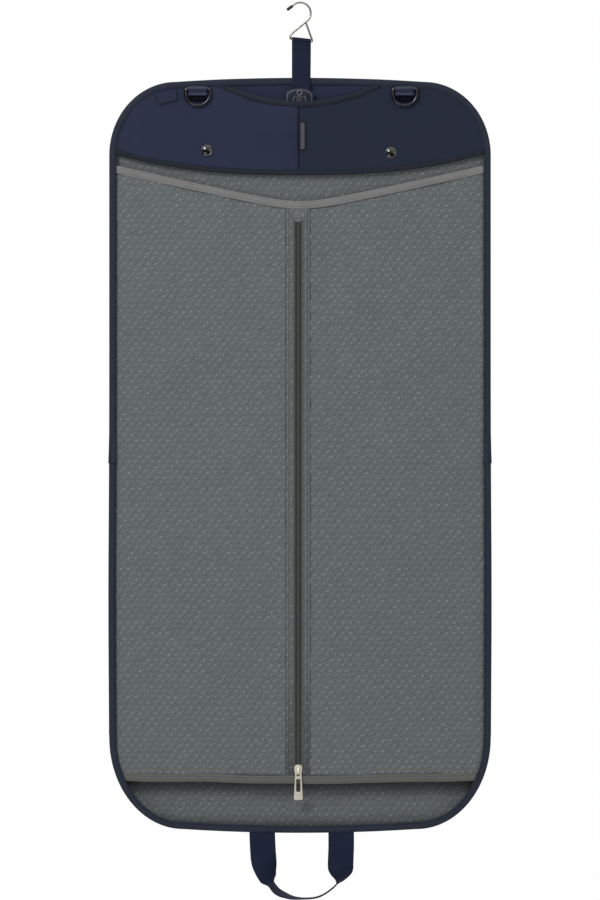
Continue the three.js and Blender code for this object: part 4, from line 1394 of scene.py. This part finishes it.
# ---------------------------------------------------------------- webbing
def webbing(name, centres, width, thickness, material, across=X_AXIS):
    """A flat woven strap along centres, its width along across at each point, with soft selvedges."""
    centres = np.asarray(centres, float)
    across = np.broadcast_to(np.asarray(across, float), centres.shape)
    along, across = unit(np.gradient(centres, axis=0)), unit(across)
    through = np.cross(along, across)
    travelled = distance_along(centres)
    columns = 13
    face = [(s, 0.5 * (1 - 0.55 * abs(s) ** 6)) for s in np.linspace(-1, 1, columns)]
    loop = face + [(1.012, 0.0)] + [(s, -h) for s, h in reversed(face)] + [(-1.012, 0.0)]
    points, flat = [], []
    for c, a, n, d in zip(centres, across, through, travelled):
        for s, h in loop:
            points.append(c + a * s * width / 2 + n * h * thickness)
            flat.append((s * width / 2, d))
    faces = grid_faces(len(centres), len(loop), close_columns=True)
    k = len(loop)
    last = (len(centres) - 1) * k
    faces += [tuple(range(k))[::-1], tuple(last + i for i in range(k))]
    o = new_mesh(name, points, faces, material, flat)
    cleaned(o, 1e-7)
    return o


def make_strap(mats):
    """Hook strap: doubled webbing out of the pocket, stitched across under the loop round the hook's bar."""
    left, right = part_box("hook_strap_root")[0].x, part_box("hook_strap_root")[1].x
    width, middle = right - left, (left + right) / 2
    joint = joint_named("hook_swing")
    bar = Vector(joint["pos_m"])
    axis = Vector(joint["axis"]).normalized()
    rise = axis.z / axis.x  # how steeply the bar lies across the strap
    bar_z = bar.z + (middle - bar.x) * rise
    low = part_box("hook_strap_root")[0].z
    neck = bar_z - 0.0095
    tilted = 0.02  # the strap takes up the bar's tilt over this much of its length
    z = spaced(low, neck, 0.0022)
    centres = places(z * 0 + middle, z * 0, z)
    flat = webbing("strap_flat", centres, width, 0.0024, mats["webbing"])
    radius = 0.0028
    sweep = np.linspace(math.radians(-62), math.radians(242), 26)
    loop = [(middle, -radius * math.cos(a), bar_z + radius * math.sin(a)) for a in sweep]
    before = [(middle, -0.0008, neck - 0.004), (middle, -0.0009, neck + 0.002)]
    after = [(x, -y, z) for x, y, z in reversed(before)]
    line = curve_through([*before, *loop, *after], 0.0009)
    top = webbing("strap_loop", line, width, 0.0012, mats["webbing"])
    for o in (flat, top):
        for v in o.data.vertices:
            share = min(1.0, max(0.0, (v.co.z - (neck - tilted)) / tilted))
            v.co.z += (v.co.x - middle) * rise * share
            v.co.x += 0.0011 * max(0.0, (v.co.x - left) / width) * smooth((v.co.z - low) / (neck - low))
    rows = []
    for k, height in enumerate((neck - 0.002, neck - 0.009)):
        xs = spaced(left + 0.002, right - 0.002, 0.002)
        share = np.clip((height - (neck - tilted)) / tilted, 0, 1)
        path = places(xs, xs * 0 - 0.00125, height + (xs - middle) * rise * share)
        rows.append(stitches(f"strap_row_{k}", path, mats["thread_navy"], pitch=0.0029, radius=0.0003))
    strap = joined("hook_strap_webbing", [flat, top, *rows])
    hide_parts("hook_strap", "hook_strap_root")
    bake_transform(strap)


def make_hook(mats):
    """One bent wire: tip, bend, long diagonal, the bar through the strap, and back up to the diagonal."""
    wire, bend = 0.0015, 0.0153
    centre = Vector((0.0004, 0, wire - bend))
    corners = ((-0.0139, -0.0455), (-0.0139, -0.0517), (0.0184, -0.0554), (0.0087, -0.0277))
    shoulder, left, right, apex = (np.array((x, 0, z)) for x, z in corners)
    sweep = np.radians(np.arange(135, -46, -5))
    arc = [(centre.x + bend * math.cos(a), 0, centre.z + bend * math.sin(a)) for a in sweep]
    start = Vector(arc[0]) + Vector((-0.0008, 0, -0.0008))
    bend_end = np.array(arc[-1])
    path = [tuple(start), *arc, *(bend_end + (shoulder - bend_end) * t for t in (0.15, 0.5, 0.8))]
    for before, at, after in ((bend_end, shoulder, left), (shoulder, left, right), (left, right, apex)):
        s, e = (at + unit(q - at) * 0.0026 for q in (before, after))
        path += [(1 - t) ** 2 * s + 2 * t * (1 - t) * at + t * t * e for t in np.linspace(0, 1, 6)]
    path += [right + (apex - right) * t - (0, 0.0002, 0) for t in (0.4, 0.8)]
    path.append(apex + (-0.0003, -0.0004, 0.0006))
    points, radii = domed_ends(curve_through(path, 0.0007), wire)
    o = tube("hook_bent_wire", points, radii, mats["steel"], 14)
    placed(o, "steel_wire", "hook", "hook_wire")
    out = Vector((-0.8, 0, -0.6)).normalized()
    line = [tuple(start + out * d) for d in np.linspace(0.0015, 0.0075, 10)]
    points, radii = domed_ends(line, 0.0023, 5)
    radii[:5] = np.linspace(0.0017, 0.0022, 5)
    sleeve = tube("hook_tip_cap", points, radii, mats["sleeve"], 16)
    placed(sleeve, "dark_plastic", "hook", "hook_tip_sleeve")


def make_rings(mats):
    for name in ("left", "right"):
        x, y, z = joint_named(f"d_ring_{name}_swing")["pos_m"]
        lo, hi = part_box(f"d_ring_{name}")
        wire = 0.0022
        half, drop = (hi.x - lo.x) / 2 - wire, hi.z - lo.z - 2 * wire
        turn = 0.003  # radius of the two corners beside the straight bar
        shape = [(x, z), (x - half + turn, z)]
        for a in np.radians((30, 60, 90)):
            shape.append((x - half + turn * (1 - math.sin(a)), z - turn * (1 - math.cos(a))))
        for a in np.radians(np.linspace(0, 180, 19)):
            shape.append((x - half * math.cos(a), z - 0.35 * drop - 0.65 * drop * math.sin(a)))
        mirror = [(2 * x - px, pz) for px, pz in shape[1:5]]
        loop = [(px, y, pz) for px, pz in shape + mirror[::-1]]
        smooth_loop = curve_through([*loop, loop[0]], 0.0008)[:-1]
        o = tube(f"d_ring_bent_{name}", smooth_loop, wire, mats["gunmetal"], 14, closed=True)
        placed(o, "gunmetal", f"d_ring_{name}", f"d_ring_{name}")

        tab_lo, tab_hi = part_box(f"d_ring_tab_{name}")
        width = tab_hi.x - tab_lo.x
        back, radius = tab_hi.y - 0.0004, 0.0027
        hidden = float(TOP.edge_z(x, BINDING - 0.002))
        over = [(x, BINDING_FRONT + 0.0022, hidden + 0.001), (x, BINDING_FRONT + 0.0012, hidden - 0.0012)]
        for a in np.radians(np.linspace(12, 150, 13)):
            over.append((x, y - radius * math.sin(a), z + radius * math.cos(a)))
        over += [(x, y + 0.0008, z - 0.0042), (x, y + 0.0018, z - 0.0062)]
        over.append((x, back - 0.001, tab_lo.z + 0.0026))
        line = curve_through(over, 0.0008)
        front = webbing(f"tab_front_{name}", line, width, 0.0012, mats["satin"])
        # The tab's lower ply lies on the yoke inside the ring; its near-black colour is painted shadow.
        xs = spaced(tab_lo.x + 0.001, tab_hi.x - 0.001, 0.002)
        ends = lambda s, x=x: tab_lo.z - 0.0075 + 0.0035 * ((s - x) / (width / 2)) ** 2
        above = level(tab_lo.z + 0.0035)
        rests = lambda s, z: yoke_face(s, z) - 0.0002
        base = panel(f"tab_base_{name}", xs, above, ends, 5, rests, mats["ply_painted_shadow"], 0.0006)
        placed(base, "navy_webbing", "upper_half")
        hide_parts(f"d_ring_tab_{name}")
        front.name = f"d_ring_loop_{name}"
        placed(front, "navy_webbing", "upper_half")


def make_trim(mats):
    for name in ("left", "right"):
        lo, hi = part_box(f"snap_cap_{name}")
        r, h = (hi.x - lo.x) / 2, hi.y - lo.y
        heights = lambda k: h * 0.2 + r * (math.sqrt(1.25**2 - k**2) - 0.75)
        dome = [(r * k, heights(k) * h / heights(0)) for k in np.linspace(0, 0.86, 12)]
        dome += [(r * 0.9, h * 0.34), (r * 0.95, h * 0.36), (r, h * 0.22), (r * 0.97, 0.0)]
        cap = lathe(f"snap_dome_{name}", dome, mats["chrome"])
        # The paler bead round the rim is a painted highlight.
        rim = r - 0.0004
        edge = [(rim * math.cos(a), rim * math.sin(a), h * 0.3) for a in around(48)]
        bead = tube(f"snap_edge_{name}", edge, 0.00055, mats["chrome_rim_painted_highlight"], 8, closed=True)
        cap = joined(f"snap_dome_{name}", [cap, bead])
        cap.data.transform(Matrix.Rotation(math.radians(90), 4, "X"))
        face = float(yoke_face((lo.x + hi.x) / 2, (lo.z + hi.z) / 2))
        cap.location = ((lo.x + hi.x) / 2, face + 0.0002, (lo.z + hi.z) / 2)
        placed(cap, "chrome_snap", "upper_half", f"snap_cap_{name}")
        dressed(f"snap_back_{name}", mats["steel"], 0.0003)
    lo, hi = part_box("side_loop")
    middle = (lo + hi) / 2
    tilt = math.radians(13.5)
    along = Vector((math.cos(tilt), 0, math.sin(tilt)))
    rise = Vector((-math.sin(tilt), 0, math.cos(tilt)))
    left, right = middle - along * 0.0138, middle + along * 0.0128
    out = Vector((0, -0.0009, 0))  # from the middle of the folded loop to either ply
    path = [left + out, middle + out + Vector((0, -0.0003, 0)), right + out, right + along * 0.0009]
    path += [right - out, middle - out, left - out]
    line = curve_through([tuple(p) for p in path], 0.001)
    o = webbing("side_loop_webbing", line, 0.015, 0.0009, mats["nylon"], rise)
    placed(o, "navy_webbing", "upper_half", "side_loop")


def make_handle(mats):
    """One webbing loop: each leg leaves the bottom edge flat and turns a quarter to the edge-on grip."""
    left, right, y, root, low = -0.055, 0.060, 0.0002, -1.210, -1.305
    sewn_in = 0.006
    way = [
        (left, root + sewn_in),
        (left, root),
        (left + 0.0008, root - 0.020),
        (left + 0.0028, root - 0.042),
        (left + 0.0086, root - 0.064),
        (left + 0.020, low + 0.013),
        (left + 0.035, low + 0.005),
        (left + 0.050, low + 0.0013),
        (right - 0.042, low + 0.0015),
        (right - 0.027, low + 0.006),
        (right - 0.0125, low + 0.016),
        (right - 0.0036, root - 0.069),
        (right - 0.001, root - 0.056),
        (right - 0.0008, root - 0.041),
        (right, root - 0.020),
        (right, root),
        (right, root + sewn_in),
    ]
    line = curve_through([(x, y, z) for x, z in way], 0.0012)
    along = unit(np.gradient(line, axis=0))
    travelled = distance_along(line)
    t = (travelled - sewn_in) / (travelled[-1] - 2 * sewn_in)
    # Degrees of twist, where along the webbing each twist starts, and over how much of it.
    twists = ((52, 0.11, 0.17), (25, 0.25, 0.045), (15, 0.32, 0.2), (88, 0.7, 0.13))
    turn = np.radians(sum(degrees * smooth((t - start) / share) for degrees, start, share in twists))
    flat = places(-along[:, 2], along[:, 0] * 0, along[:, 0])
    across = flat * np.cos(turn)[:, None] + np.array((0, 1.0, 0)) * np.sin(turn)[:, None]
    width, thickness = 0.037, 0.0019
    o = webbing("handle_webbing", line, width, thickness, mats["webbing"], across)
    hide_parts("handle")
    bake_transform(o)


make_camera()
make_studio()
MATS = make_materials()
make_binding(MATS)
make_gusset(MATS)
make_back(MATS)
make_curtain(MATS)
make_zip(MATS)
make_slider(MATS)
make_yoke(MATS)
make_label(MATS)
make_bracket(MATS)
make_strap(MATS)
make_hook(MATS)
make_rings(MATS)
make_trim(MATS)
make_handle(MATS)
